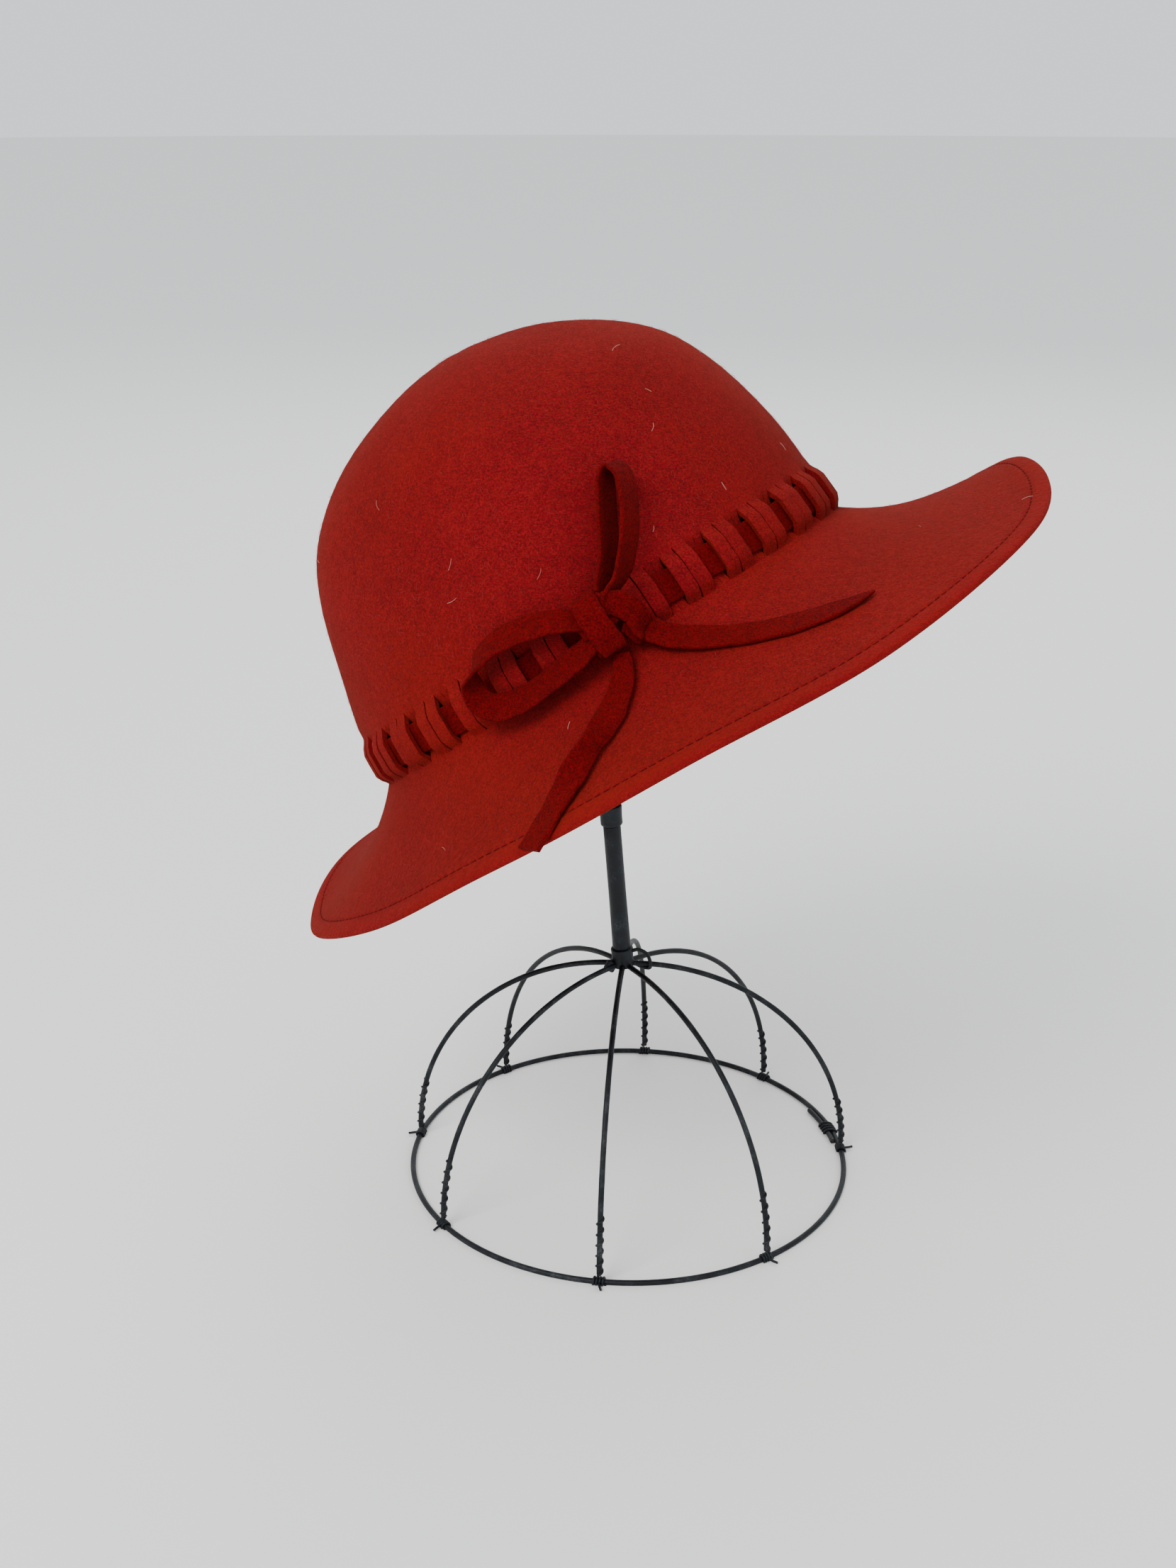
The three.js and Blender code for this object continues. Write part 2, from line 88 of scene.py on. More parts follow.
def apply_all(obj):
    pick(obj)
    for modifier in list(obj.modifiers):
        bpy.ops.object.modifier_apply(modifier=modifier.name)


def settle(obj, name, angle=40):
    pick(obj)
    bpy.ops.object.transform_apply(location=True, rotation=True, scale=True)
    bpy.ops.object.shade_smooth_by_angle(angle=math.radians(angle))
    obj.name = name
    obj.data.name = name
    return obj


def report(obj):
    sides = [round(side * 1000, 1) for side in obj.dimensions]
    print(obj.name, "faces", len(obj.data.polygons), "size mm", sides)


def place_piece(obj, slot, *nodes):
    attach(obj, ROOT)
    if nodes:
        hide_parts(*nodes)
    report(obj)


def mesh_piece(name, points, faces):
    mesh = bpy.data.meshes.new(name)
    mesh.from_pydata([tuple(p) for p in points], [], [tuple(int(i) for i in f) for f in faces])
    mesh.validate()
    obj = bpy.data.objects.new(name, mesh)
    bpy.context.collection.objects.link(obj)
    pick(obj)
    bpy.ops.object.mode_set(mode="EDIT")
    bpy.ops.mesh.select_all(action="SELECT")
    bpy.ops.mesh.normals_make_consistent(inside=False)
    bpy.ops.object.mode_set(mode="OBJECT")
    return obj


# %% [markdown]
# ## Camera
# The camera stands a little left of the stand and above it, and looks down by about 21 degrees.
# It is made first because everything else is judged through it. A long sensor side of 36 mm with
# a 43.2 mm lens gives the field of view.

# %% Camera
camera_data = bpy.data.cameras.new("front_camera")
camera_data.sensor_fit = "VERTICAL"
camera_data.sensor_height = 36
camera_data.lens = 43.2
camera_data.clip_start = 0.01
camera_data.clip_end = 60
camera = bpy.data.objects.new("front_camera", camera_data)
camera.location = (-0.02692, -0.67475, 0.41849)
camera.rotation_euler = (math.radians(69.332), 0, 0)
bpy.context.collection.objects.link(camera)
bpy.context.scene.camera = camera
print("camera lens", camera_data.lens)


# %% [markdown]
# ## Floor and light
# A plain pale floor shows where the ring stands. The light is a large soft panel high on the left
# and in front, a weaker one on the right, and a pale surround that fills the shadows, as in a
# bright room with a big window.

# %% Pale floor
def plain_material(name, colour, roughness):
    material = bpy.data.materials.new(name)
    material.use_nodes = True
    shader = material.node_tree.nodes["Principled BSDF"]
    shader.inputs["Base Color"].default_value = (*colour, 1)
    shader.inputs["Roughness"].default_value = roughness
    return material


start_clean()
bpy.ops.mesh.primitive_circle_add(vertices=96, radius=14, fill_type="NGON", location=(0, 0, 0))
floor = settle(bpy.context.object, "pale_floor")
floor.data.materials.append(plain_material("pale_paper", (0.86, 0.855, 0.84), 0.9))


# %% Soft light
def soft_panel(name, place, aim, size, power, colour):
    data = bpy.data.lights.new(name, "AREA")
    data.shape = "RECTANGLE"
    data.size, data.size_y = size
    data.energy = power
    data.color = colour
    panel = bpy.data.objects.new(name, data)
    bpy.context.collection.objects.link(panel)
    panel.location = place
    away = np.array(place) - np.array(aim)
    flat = math.hypot(away[0], away[1])
    panel.rotation_euler = (math.atan2(flat, away[2]), 0, math.atan2(away[0], -away[1]))
    return panel


soft_panel("window_panel", (-1.0, -1.3, 1.6), (0, 0, 0.2), (1.1, 0.9), 36, (1, 0.98, 0.96))
soft_panel("room_panel", (1.5, -0.9, 0.9), (0, 0, 0.2), (1.2, 1.2), 5, (0.96, 0.98, 1))
soft_panel("back_panel", (0.3, 1.6, 1.4), (0, 0, 0.25), (1.6, 1.0), 13, (1, 0.97, 0.93))
world = bpy.data.worlds.new("pale_room")
world.use_nodes = True
world.node_tree.nodes["Background"].inputs["Color"].default_value = (0.86, 0.90, 0.93, 1)
world.node_tree.nodes["Background"].inputs["Strength"].default_value = 1.25
bpy.context.scene.world = world


# %% [markdown]
# ## The stand
# The stand is bent from black iron wire: a ring, eight ribs that rise to a collar, a short post
# and a second collar under the hat. Only the ring is placed from the box of its CAD node. The
# ring's middle gives the stand's own centre, and all other places are measured from there.

# %% Places on the stand
WIRE = 1.1 * MM
RING_RADIUS = 88.4 * MM
ring_low, ring_high = (np.array(corner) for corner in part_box("base_ring"))
RING_MIDDLE = (ring_low + ring_high) / 2
CENTRE = np.array([RING_MIDDLE[0], RING_MIDDLE[1], 0])
RING_Z = WIRE * math.sin(math.radians(50))
HUB = CENTRE + np.array([-2.5, 0, 87.5]) * MM
LEAN = -0.08
RIB_AZIMUTHS = [math.radians(a) for a in (-98, -55, 3, 46, 84, 127, 169, 215)]
print("ring centre", CENTRE, "hub", HUB)


# %% [markdown]
# ### Ring
# The ring is a torus, cut flat underneath with a bisect so that it stands firmly on the table.

# %% Ring
start_clean()
bpy.ops.mesh.primitive_torus_add(
    major_segments=180, minor_segments=14, major_radius=RING_RADIUS, minor_radius=WIRE,
    location=(CENTRE[0], CENTRE[1], RING_Z))
ring = bpy.context.object
bpy.ops.object.transform_apply(location=True)
bpy.ops.object.mode_set(mode="EDIT")
bpy.ops.mesh.select_all(action="SELECT")
bpy.ops.mesh.bisect(plane_co=(0, 0, 0.00002), plane_no=(0, 0, 1), use_fill=True, clear_inner=True)
bpy.ops.object.mode_set(mode="OBJECT")
settle(ring, "ring_wire")
place_piece(ring, "stand_iron", "base_ring")


# %% [markdown]
# ### Wire along a route
# Bent wire is a curve with a round bevel. The curve is made a mesh at once, so that its place
# ends up in the mesh like that of the other pieces. A little unevenness in the radius keeps the
# wire from looking like a drawn line.

# %% Wire helper
def smooth_route(points, steps):
    points = np.array(points, float)
    ends = np.vstack([2 * points[0] - points[1], points, 2 * points[-1] - points[-2]])
    count = len(points) - 1
    places = np.linspace(0, count, count * steps + 1)
    row = np.minimum(places.astype(int), count - 1)
    t = (places - row)[:, None]
    a, b, c, d = (ends[row + k] for k in range(4))
    return 0.5 * (2 * b + (c - a) * t + (2 * a - 5 * b + 4 * c - d) * t ** 2
                  + (3 * b - a - 3 * c + d) * t ** 3)


def bent_wire(name, routes, radius, sides=3, uneven=0.03):
    """Wires along several routes, as one mesh with round closed ends."""
    data = bpy.data.curves.new(name, "CURVE")
    data.dimensions = "3D"
    data.bevel_depth = radius
    data.bevel_resolution = sides
    data.use_fill_caps = True
    for route in routes:
        spline = data.splines.new("POLY")
        spline.points.add(len(route) - 1)
        for index, point in enumerate(route):
            spline.points[index].co = (*point, 1)
            wave = math.sin(index * 1.7) + math.sin(index * 0.61 + 1)
            spline.points[index].radius = 1 + uneven * 0.5 * wave
    obj = bpy.data.objects.new(name, data)
    bpy.context.collection.objects.link(obj)
    pick(obj)
    bpy.ops.object.convert(target="MESH")
    obj = bpy.context.object
    bpy.ops.object.mode_set(mode="EDIT")
    bpy.ops.mesh.select_all(action="SELECT")
    bpy.ops.mesh.remove_doubles(threshold=0.000001)
    bpy.ops.mesh.normals_make_consistent(inside=False)
    bpy.ops.object.mode_set(mode="OBJECT")
    return settle(obj, name, 60)


# %% [markdown]
# ### Ribs
# Each rib leaves the collar almost level and bends down to the ring in a quarter of an ellipse.
# The knobbly, twisted lower end that real stands have comes from the binding wire wound round
# its foot.

# %% Rib routes
RIB_TOP = HUB[2] + 1 * MM
RIB_FOOT = 4.1 * MM


def rib_place(azimuth, out, height):
    share = 1 - out / RING_RADIUS
    return CENTRE + np.array([
        (HUB[0] - CENTRE[0]) * share + out * math.cos(azimuth), out * math.sin(azimuth), height])


def rib_route(azimuth, steps=44):
    first = math.asin(6.2 * MM / RING_RADIUS)
    angles = np.linspace(first, math.pi / 2, steps)
    return [rib_place(azimuth, RING_RADIUS * math.sin(a),
                      RIB_FOOT + (RIB_TOP - RIB_FOOT) * math.cos(a)) for a in angles]


def twist_round(route, radius, turns, start=0.0):
    """A helix of a given radius round a route."""
    route = np.array(route)
    along = np.gradient(route, axis=0)
    along /= np.linalg.norm(along, axis=1)[:, None]
    side = np.cross(along, (0.37, 0.91, 0.15))
    side /= np.linalg.norm(side, axis=1)[:, None]
    other = np.cross(along, side)
    angle = start + np.linspace(0, 2 * math.pi * turns, len(route))[:, None]
    return route + radius * (np.cos(angle) * side + np.sin(angle) * other)


# %% Ribs
for index, azimuth in enumerate(RIB_AZIMUTHS):
    number = index + 1
    rib = bent_wire(f"rib_wire_{number}", [rib_route(azimuth)], WIRE)
    place_piece(rib, "stand_iron", f"rib_{number}")


# %% [markdown]
# ### Bindings
# Where a rib meets the ring, thin wire is wound round both. Each binding is a short helix round
# the ring, a twisted tail that climbs the rib, and a snipped end that points outwards.

# %% Bindings at the feet
BIND = 0.5 * MM


def binding_routes(azimuth, number):
    radial = np.array([math.cos(azimuth), math.sin(azimuth), 0])
    tangent = np.array([-math.sin(azimuth), math.cos(azimuth), 0])
    up = np.array([0, 0, 1.0])
    foot = CENTRE + radial * RING_RADIUS + up * RING_Z
    turns = 4
    angles = np.linspace(math.radians(-30), math.radians(-30) + 2 * math.pi * turns, 14 * turns)
    coil = []
    for step, angle in enumerate(angles):
        shift = (step / (len(angles) - 1) - 0.5) * 4.6 * MM
        reach = WIRE + BIND * 1.05
        height = max(reach * math.sin(angle), BIND * 1.05 - RING_Z)
        coil.append(foot + tangent * shift + radial * reach * math.cos(angle) + up * height)
    climb = [rib_place(azimuth, RING_RADIUS * math.sin(a),
                       RIB_FOOT + (RIB_TOP - RIB_FOOT) * math.cos(a))
             for a in np.linspace(math.pi / 2, math.pi / 2 - 0.25 - 0.02 * (number % 3), 80)]
    twist = twist_round(climb, WIRE + BIND * 0.15, 5.5, number * 1.3)
    snip = [foot + radial * (WIRE + BIND) + up * 0.4 * MM,
            foot + radial * 3.4 * MM + tangent * 0.5 * MM + up * 0.2 * MM,
            foot + radial * 5.2 * MM + tangent * 1.2 * MM + up * 0.1 * MM]
    return [coil, list(twist), smooth_route(snip, 4)]


for index, azimuth in enumerate(RIB_AZIMUTHS):
    number = index + 1
    binding = bent_wire(f"rib_binding_{number}", binding_routes(azimuth, number), BIND, 2)
    place_piece(binding, "stand_iron", f"rib_tie_{number}")


# %% [markdown]
# ### Lapped joint of the ring
# The ring is one length of wire whose ends lie side by side for a few centimetres, held by a few
# turns of binding wire.

# %% Lapped joint
def ring_place(angle, out, height=RING_Z):
    return CENTRE + np.array([out * math.cos(angle), out * math.sin(angle), height])


lap_angles = np.radians(np.linspace(6.5, 24, 24))
lap_out = RING_RADIUS - 1.95 * WIRE
lap = [ring_place(a, lap_out, WIRE) for a in lap_angles]
lap_coil = []
for step in range(60):
    angle = math.radians(11 + 5 * step / 59)
    turn = 2 * math.pi * 4 * step / 59
    wide = 2 * WIRE + BIND
    middle = RING_RADIUS - 0.97 * WIRE
    height = max(RING_Z + (WIRE + BIND) * math.sin(turn), BIND * 1.02)
    lap_coil.append(ring_place(angle, middle + wide * math.cos(turn), height))
lap_wire = bent_wire("ring_lap", [lap], WIRE * 0.95)
place_piece(lap_wire, "stand_iron")
lap_binding = bent_wire("ring_lap_binding", [lap_coil], BIND, 2)
place_piece(lap_binding, "stand_iron")


# %% [markdown]
# ### Collars and post
# The post is a rod with a slight taper. A sheet-metal collar grips the ribs at its foot and a
# second one sits under the hat. Each is spun from a profile of rings, drawn in or flared ring by
# ring, with its rims rounded in the profile.

# %% Upright frame
def upright_place(out, height):
    """A point of the leaning upright, from its own radius vector and height."""
    x, y = out
    return HUB + np.array([
        x * math.cos(LEAN) + height * math.sin(LEAN), y,
        -x * math.sin(LEAN) + height * math.cos(LEAN)])


def turned_piece(name, profile, sides=40):
    """A solid of rings, drawn from (radius, height) pairs with a spin."""
    start_clean()
    bpy.ops.mesh.primitive_plane_add(size=0.001, location=(0, 0, 0))
    obj = bpy.context.object
    bpy.ops.object.mode_set(mode="EDIT")
    bpy.ops.mesh.select_all(action="SELECT")
    bpy.ops.mesh.delete(type="VERT")
    bpy.ops.object.mode_set(mode="OBJECT")
    points = [(radius, 0, height) for radius, height in profile]
    edges = [(i, i + 1) for i in range(len(points) - 1)]
    obj.data.from_pydata(points, edges, [])
    pick(obj)
    bpy.ops.object.mode_set(mode="EDIT")
    bpy.ops.mesh.select_all(action="SELECT")
    bpy.ops.mesh.spin(steps=sides, angle=2 * math.pi, center=(0, 0, 0), axis=(0, 0, 1))
    bpy.ops.mesh.select_all(action="SELECT")
    bpy.ops.mesh.remove_doubles(threshold=0.000004)
    bpy.ops.mesh.normals_make_consistent(inside=False)
    bpy.ops.object.mode_set(mode="OBJECT")
    for vertex in obj.data.vertices:
        vertex.co = upright_place((vertex.co.x, vertex.co.y), vertex.co.z)
    obj.name = name
    return obj


# %% Post and collars
def rounded_rod(bottom, top, low_radius, high_radius, rim, waist=0.0, rings=9):
    profile = [(0, bottom), (low_radius - rim, bottom), (low_radius - rim * 0.3, bottom + rim * 0.3),
               (low_radius, bottom + rim)]
    for step in range(1, rings):
        share = step / rings
        radius = low_radius + (high_radius - low_radius) * share
        radius -= waist * math.sin(math.pi * share)
        profile.append((radius, bottom + rim + (top - bottom - 2 * rim) * share))
    profile += [(high_radius, top - rim), (high_radius - rim * 0.3, top - rim * 0.3),
                (high_radius - rim, top), (0, top)]
    return profile


collar = turned_piece("hub_collar", rounded_rod(0, 8 * MM, 4.3 * MM, 4.45 * MM, 0.5 * MM, 0.12 * MM))
settle(collar, "hub_collar", 50)
place_piece(collar, "stand_iron", "base_collar")
post = turned_piece("post_rod", rounded_rod(8.2 * MM, 60.4 * MM, 3.65 * MM, 3.45 * MM, 0.3 * MM, 0.1 * MM))
settle(post, "post_rod", 50)
place_piece(post, "stand_iron", "post")
upper = turned_piece("neck_collar", rounded_rod(60.6 * MM, 68.6 * MM, 4.3 * MM, 4.5 * MM, 0.5 * MM, 0.1 * MM))
settle(upper, "neck_collar", 50)
place_piece(upper, "stand_iron", "top_collar")


# %% [markdown]
# ### Head of the stand
# The hat hides the head. It is a stem with a shallow dome that carries the crown from inside, so
# the hat looks held when it is seen from below.

# %% Dome head
REST_TOP = 243.8 * MM


def dome_profile():
    profile = [(0, 68.9 * MM), (3.5 * MM, 68.9 * MM), (3.5 * MM, REST_TOP - 5.4 * MM)]
    for angle in np.linspace(0.16, math.pi / 2, 14):
        profile.append((30 * MM * math.sin(angle), REST_TOP - 4 * MM - 22 * MM * (1 - math.cos(angle))))
    for angle in np.linspace(math.pi / 2, 0, 18):
        profile.append((34 * MM * math.sin(angle), REST_TOP - 22 * MM * (1 - math.cos(angle))))
    return profile


head = turned_piece("dome_head", dome_profile(), 48)
settle(head, "dome_head", 50)
place_piece(head, "stand_iron", "crown_rest")


# %% [markdown]
# ### Ear, lug and rib gather
# A small bent ear of wire stands out at the right of the lower collar, and a dark lug grips the
# ribs at its left. Short stubs show that the ribs run on into the collar.

# %% Ear and lug
ear_points = [upright_place((4.2 * MM, -1.2 * MM), 6.8 * MM), upright_place((6.6 * MM, -1.6 * MM), 7.2 * MM),
              upright_place((9.6 * MM, -1.8 * MM), 5.2 * MM), upright_place((10.8 * MM, -1.6 * MM), 1.2 * MM),
              upright_place((10.2 * MM, -0.6 * MM), -1.6 * MM), upright_place((7.0 * MM, 0.4 * MM), -1.2 * MM),
              upright_place((4.0 * MM, 0.6 * MM), 0.8 * MM)]
ear = bent_wire("hub_ear", [smooth_route(ear_points, 6)], 0.75 * MM)
place_piece(ear, "stand_iron")
stubs = []
for azimuth in RIB_AZIMUTHS:
    outer = rib_place(azimuth, 6.6 * MM, RIB_TOP - 0.25 * MM)
    inner = rib_place(azimuth, 2.4 * MM, RIB_TOP + 0.2 * MM)
    stubs.append([outer, (outer + inner) / 2, inner])
gather = bent_wire("hub_gather", stubs, WIRE * 1.02)
place_piece(gather, "stand_iron")
start_clean()
bpy.ops.mesh.primitive_cube_add(size=1, location=tuple(upright_place((-5.0 * MM, -2.2 * MM), 1.2 * MM)))
lug = bpy.context.object
lug.scale = (4.6 * MM, 2.6 * MM, 4.4 * MM)
lug.rotation_euler = (0, 0.6, 0.5)
bpy.ops.object.transform_apply(location=True, rotation=True, scale=True)
bpy.ops.object.mode_set(mode="EDIT")
bpy.ops.mesh.select_all(action="SELECT")
bpy.ops.mesh.bevel(offset=0.9 * MM, segments=3, affect="EDGES")
bpy.ops.object.mode_set(mode="OBJECT")
settle(lug, "hub_lug", 60)
place_piece(lug, "stand_iron")


# %% [markdown]
# ## The hat's surface
# The felt hood is a turned crown, slightly oval, with a brim whose reach and fall change round
# the head. Both are drawn from short tables of places, joined by smooth curves. Mesh code is used
# here because no primitive has this shape: one function gives the middle of the felt at any
# azimuth and row, and every piece of the hat is laid out on it.

# %% Tables of the hood, in millimetres
FELT = 2.0
CROWN_NARROW = 0.87
CROWN = np.array([  # height, radius, shift towards the front
    (120, 0, 3.6), (119.5, 12, 3.4), (113, 38, 2), (101, 59, 1.8), (90, 71, 1.7),
    (77, 82, 1.6), (45, 91, 1.9), (19.5, 95.5, 0.3), (0, 96.5, 0.5)], float)
BRIM = np.array([  # reach, tuck beside the crown, slope to the edge; every 30 degrees
    (68, 13, 8), (65, 13, 8), (62, 13, 8), (60, 13, 6), (60, 13, 4), (61, 13, 5),
    (56, 13, 17), (46, 12, 25), (43, 12, 26), (46, 12, 27), (57, 12, 31), (69, 13, 23)], float)
TUCK_POWER = 3.5
BAND_ROW = 7
BRIM_ROW = 8
BOW_AZIMUTH = -math.pi / 2


# %% Smooth curves through the tables
def cubic(a, b, c, d, t):
    return 0.5 * (2 * b + (c - a) * t + (2 * a - 5 * b + 4 * c - d) * t ** 2
                  + (3 * b - a - 3 * c + d) * t ** 3)


def crown_line(rows):
    """Height, radius and shift of the crown's outline at each row."""
    table = np.vstack([2 * CROWN[0] - CROWN[1], CROWN, 2 * CROWN[-1] - CROWN[-2]])
    rows = np.clip(rows, 0, BRIM_ROW)
    low = np.minimum(rows.astype(int), BRIM_ROW - 1)
    t = (rows - low)[..., None]
    return cubic(table[low], table[low + 1], table[low + 2], table[low + 3], t)


def smooth_crown_line(rows):
    """The same outline with the small corners between table rows blended away."""
    spread = 0.8 * np.clip((7.0 - rows) / 2.0, 0, 1)
    total = 0
    for offset, share in ((-1, 0.12), (-0.5, 0.22), (0, 0.32), (0.5, 0.22), (1, 0.12)):
        places = rows + offset * spread
        line = crown_line(np.abs(places))
        line[..., 1] *= np.where(places < 0, -1, 1)
        total = total + share * line
    return total


def brim_line(azimuth):
    place = np.mod(azimuth / (2 * math.pi), 1) * len(BRIM)
    low = place.astype(int)
    t = (place - low)[..., None]
    return cubic(*(BRIM[(low + step) % len(BRIM)] for step in (-1, 0, 1, 2)), t)


def hat_point(azimuth, row):
    """Middle of the felt, in the hat's own millimetres."""
    azimuth, row = np.broadcast_arrays(np.asarray(azimuth, float), np.asarray(row, float))
    height, radius, shift = np.moveaxis(smooth_crown_line(row), -1, 0)
    x = radius * np.cos(azimuth) + shift
    y = CROWN_NARROW * radius * np.sin(azimuth)
    out = np.maximum(row - BRIM_ROW, 0)
    reach, tuck, slope = np.moveaxis(brim_line(azimuth), -1, 0)
    way = np.stack([np.cos(azimuth), np.sin(azimuth) / CROWN_NARROW], -1)
    way /= np.linalg.norm(way, axis=-1)[..., None]
    fall = tuck * (1 - (1 - np.minimum(out, 1)) ** TUCK_POWER) + slope * out
    return np.stack([x + way[..., 0] * reach * out, y + way[..., 1] * reach * out, height - fall], -1)


def hat_normal(azimuth, row):
    azimuth, row = np.broadcast_arrays(np.asarray(azimuth, float), np.asarray(row, float))
    down = hat_point(azimuth, row + 0.01) - hat_point(azimuth, np.maximum(row - 0.01, 0))
    turn = hat_point(azimuth + 0.01, row) - hat_point(azimuth - 0.01, row)
    normal = np.cross(down, turn)
    return normal / np.linalg.norm(normal, axis=-1)[..., None]


# %% [markdown]
# The hat is tipped back and towards one side. This is the only place where its own millimetres
# become metres on the stand.

# %% From the hat to the stand
HAT_PLACE = CENTRE + np.array([-7.9, 0, 218.9]) * MM
LEAN_X = math.radians(-15.1)
ROLL_Y = math.radians(-31.6)
TIP = np.array([[1, 0, 0],
                [0, math.cos(LEAN_X), -math.sin(LEAN_X)],
                [0, math.sin(LEAN_X), math.cos(LEAN_X)]]) @ np.array([
                    [math.cos(ROLL_Y), 0, math.sin(ROLL_Y)],
                    [0, 1, 0],
                    [-math.sin(ROLL_Y), 0, math.cos(ROLL_Y)]])


def to_stand(points):
    return np.asarray(points) * MM @ TIP.T + HAT_PLACE


# %% Length of arc round the crown's foot
arc_azimuths = BOW_AZIMUTH + np.linspace(0, 2 * math.pi, 2881)
foot_line = hat_point(arc_azimuths, np.full(2881, float(BRIM_ROW)))
arc_lengths = np.concatenate([[0], np.cumsum(np.linalg.norm(np.diff(foot_line, axis=0), axis=1))])
PERIMETER = arc_lengths[-1]


def azimuth_at(arc):
    arc = np.asarray(arc, float)
    turns = np.floor(arc / PERIMETER)
    return np.interp(arc - turns * PERIMETER, arc_lengths, arc_azimuths) + turns * 2 * math.pi


SLIT_PAIRS = 33
PITCH = PERIMETER / SLIT_PAIRS
print("crown's foot", round(PERIMETER, 1), "mm round, one pair of strips every", round(PITCH, 2))


# %% [markdown]
# ## The felt hood
# The crown's foot is cut with upright slits. Every other pair of strips is pushed out and lies
# over the lace, and the pairs between stay behind it. Each strip gets its own columns of
# vertices, rounded towards its cut sides, and a little of its own lift, as hand-cut felt has.

# %% Columns of the cut band
RAISED_WIDTH = 10.4
RAISE = 2.9
SINK = 1.6
SLIT = 0.4
shaky = np.random.default_rng(11)


def strip_columns(start, end, shares, drops, lift):
    return [(start + (end - start) * share, lift, drop) for share, drop in zip(shares, drops)]


def band_columns():
    """One list of (arc, lift, rounding) for each strip, all round the crown."""
    strips = []
    for pair in range(SLIT_PAIRS):
        middle = pair * PITCH
        half = RAISED_WIDTH / 2
        sunk = middle + half + SLIT
        sunk_end = middle + PITCH - half - SLIT
        split = (sunk + sunk_end) / 2
        for start, end in ((middle - half, middle - 0.34), (middle + 0.34, middle + half)):
            lift = RAISE * (1 + shaky.uniform(-0.09, 0.06))
            strips.append(strip_columns(start, end, (0, 0.1, 0.3, 0.7, 0.9, 1),
                                        (0.14, 0.03, 0, 0, 0.03, 0.14), lift))
        for start, end in ((sunk, split - 0.14), (split + 0.14, sunk_end)):
            lift = -SINK * (1 + shaky.uniform(-0.12, 0.05))
            strips.append(strip_columns(start, end, (0, 0.2, 0.8, 1), (0.08, 0, 0, 0.08), lift))
    return strips


STRIPS = band_columns()
print("strips", len(STRIPS), "columns", sum(len(strip) for strip in STRIPS))


# %% [markdown]
# The crown is not quite even: blocked felt keeps faint dents and a soft wave along the brim.
# These moves are well under a millimetre, apart from one shallow dent beside the bow.

# %% Small unevenness of the blocked felt
def bow_right_up(azimuth, row):
    """Millimetres to the right of the bow and up from the middle of the band."""
    right = np.mod(azimuth - BOW_AZIMUTH + math.pi, 2 * math.pi) - math.pi
    right = np.sign(right) * np.interp(np.abs(right), arc_azimuths - BOW_AZIMUTH, arc_lengths)
    up = np.where(row < BAND_ROW, 9.75 + (BAND_ROW - row) * 25.5,
                  np.where(row > BRIM_ROW, -9.75 - (row - BRIM_ROW) * 50, (7.5 - row) * 19.5))
    return right, up


def unevenness(azimuth, row):
    right, up = bow_right_up(azimuth, row)
    wave = 0.22 * np.sin(3 * azimuth + 0.8 * row) + 0.16 * np.sin(7 * azimuth - 1.3 * row + 1)
    wave += 0.12 * np.sin(11 * azimuth + 2.1 * row + 2)
    wave *= np.clip(row / 2, 0, 1)
    edge = np.clip(row - BRIM_ROW - 0.35, 0, 1)
    wave += edge * (0.8 * np.sin(5 * azimuth + 0.6) + 0.5 * np.sin(9 * azimuth + 2.2))
    dent = -1.5 * np.exp(-(((right - 40) / 13) ** 2 + ((up - 30) / 17) ** 2))
    return wave * (np.abs(row - 7.5) > 0.5) + dent


# %% Rows down the crown and out along the brim
CROWN_ROWS = np.concatenate([[0.12, 0.25, 0.45, 0.7, 1.0], np.arange(1.3, 6.9, 0.27), [6.86]])
BAND_SHARES = np.array([0, 0.05, 0.11, 0.19, 0.3, 0.45, 0.6, 0.74, 0.84, 0.91, 0.96, 1])
BRIM_SHARES = np.array([0.05, 0.11, 0.18, 0.26, 0.35, 0.45, 0.55, 0.66, 0.78, 0.9, 1.0])
HEM_PLACES = np.array([9.0, 7.6, 6.9, 6.3, 5.7, 5.0, 3.4, 1.4, 0.55, 0.16, 0.0])
STITCH_LINE = 6.3


def step_between(low, high, value):
    t = np.clip((value - low) / (high - low), 0, 1)
    return t * t * (3 - 2 * t)


def raised_bulge(share):
    return step_between(0, 0.3, share) * (1 - step_between(0.74, 1, share)) * (0.86 + 0.2 * share)


def sunk_bulge(share):
    return step_between(0, 0.2, share) * (1 - step_between(0.8, 1, share))


# %% Grid of the hood's middle surface
def joined_columns():
    """The columns above and below the slits, where the two sides of a slit are one."""
    flat = [column for strip in STRIPS for column in strip]
    owner = []
    arcs = []
    for strip in STRIPS:
        for index, column in enumerate(strip):
            if index == 0 and arcs:
                arcs[-1] = (arcs[-1] + column[0]) / 2
                owner.append(len(arcs) - 1)
            else:
                arcs.append(column[0])
                owner.append(len(arcs) - 1)
    # The very last column meets the first one again.
    owner[-1] = 0
    last = arcs.pop()
    arcs[0] = (arcs[0] + last - PERIMETER) / 2
    return flat, np.array(owner), np.array(arcs)


flat_columns, column_owner, joined_arcs = joined_columns()
joined_azimuths = azimuth_at(joined_arcs)
JOINED = len(joined_arcs)
points = []
zones = []
thickness = []


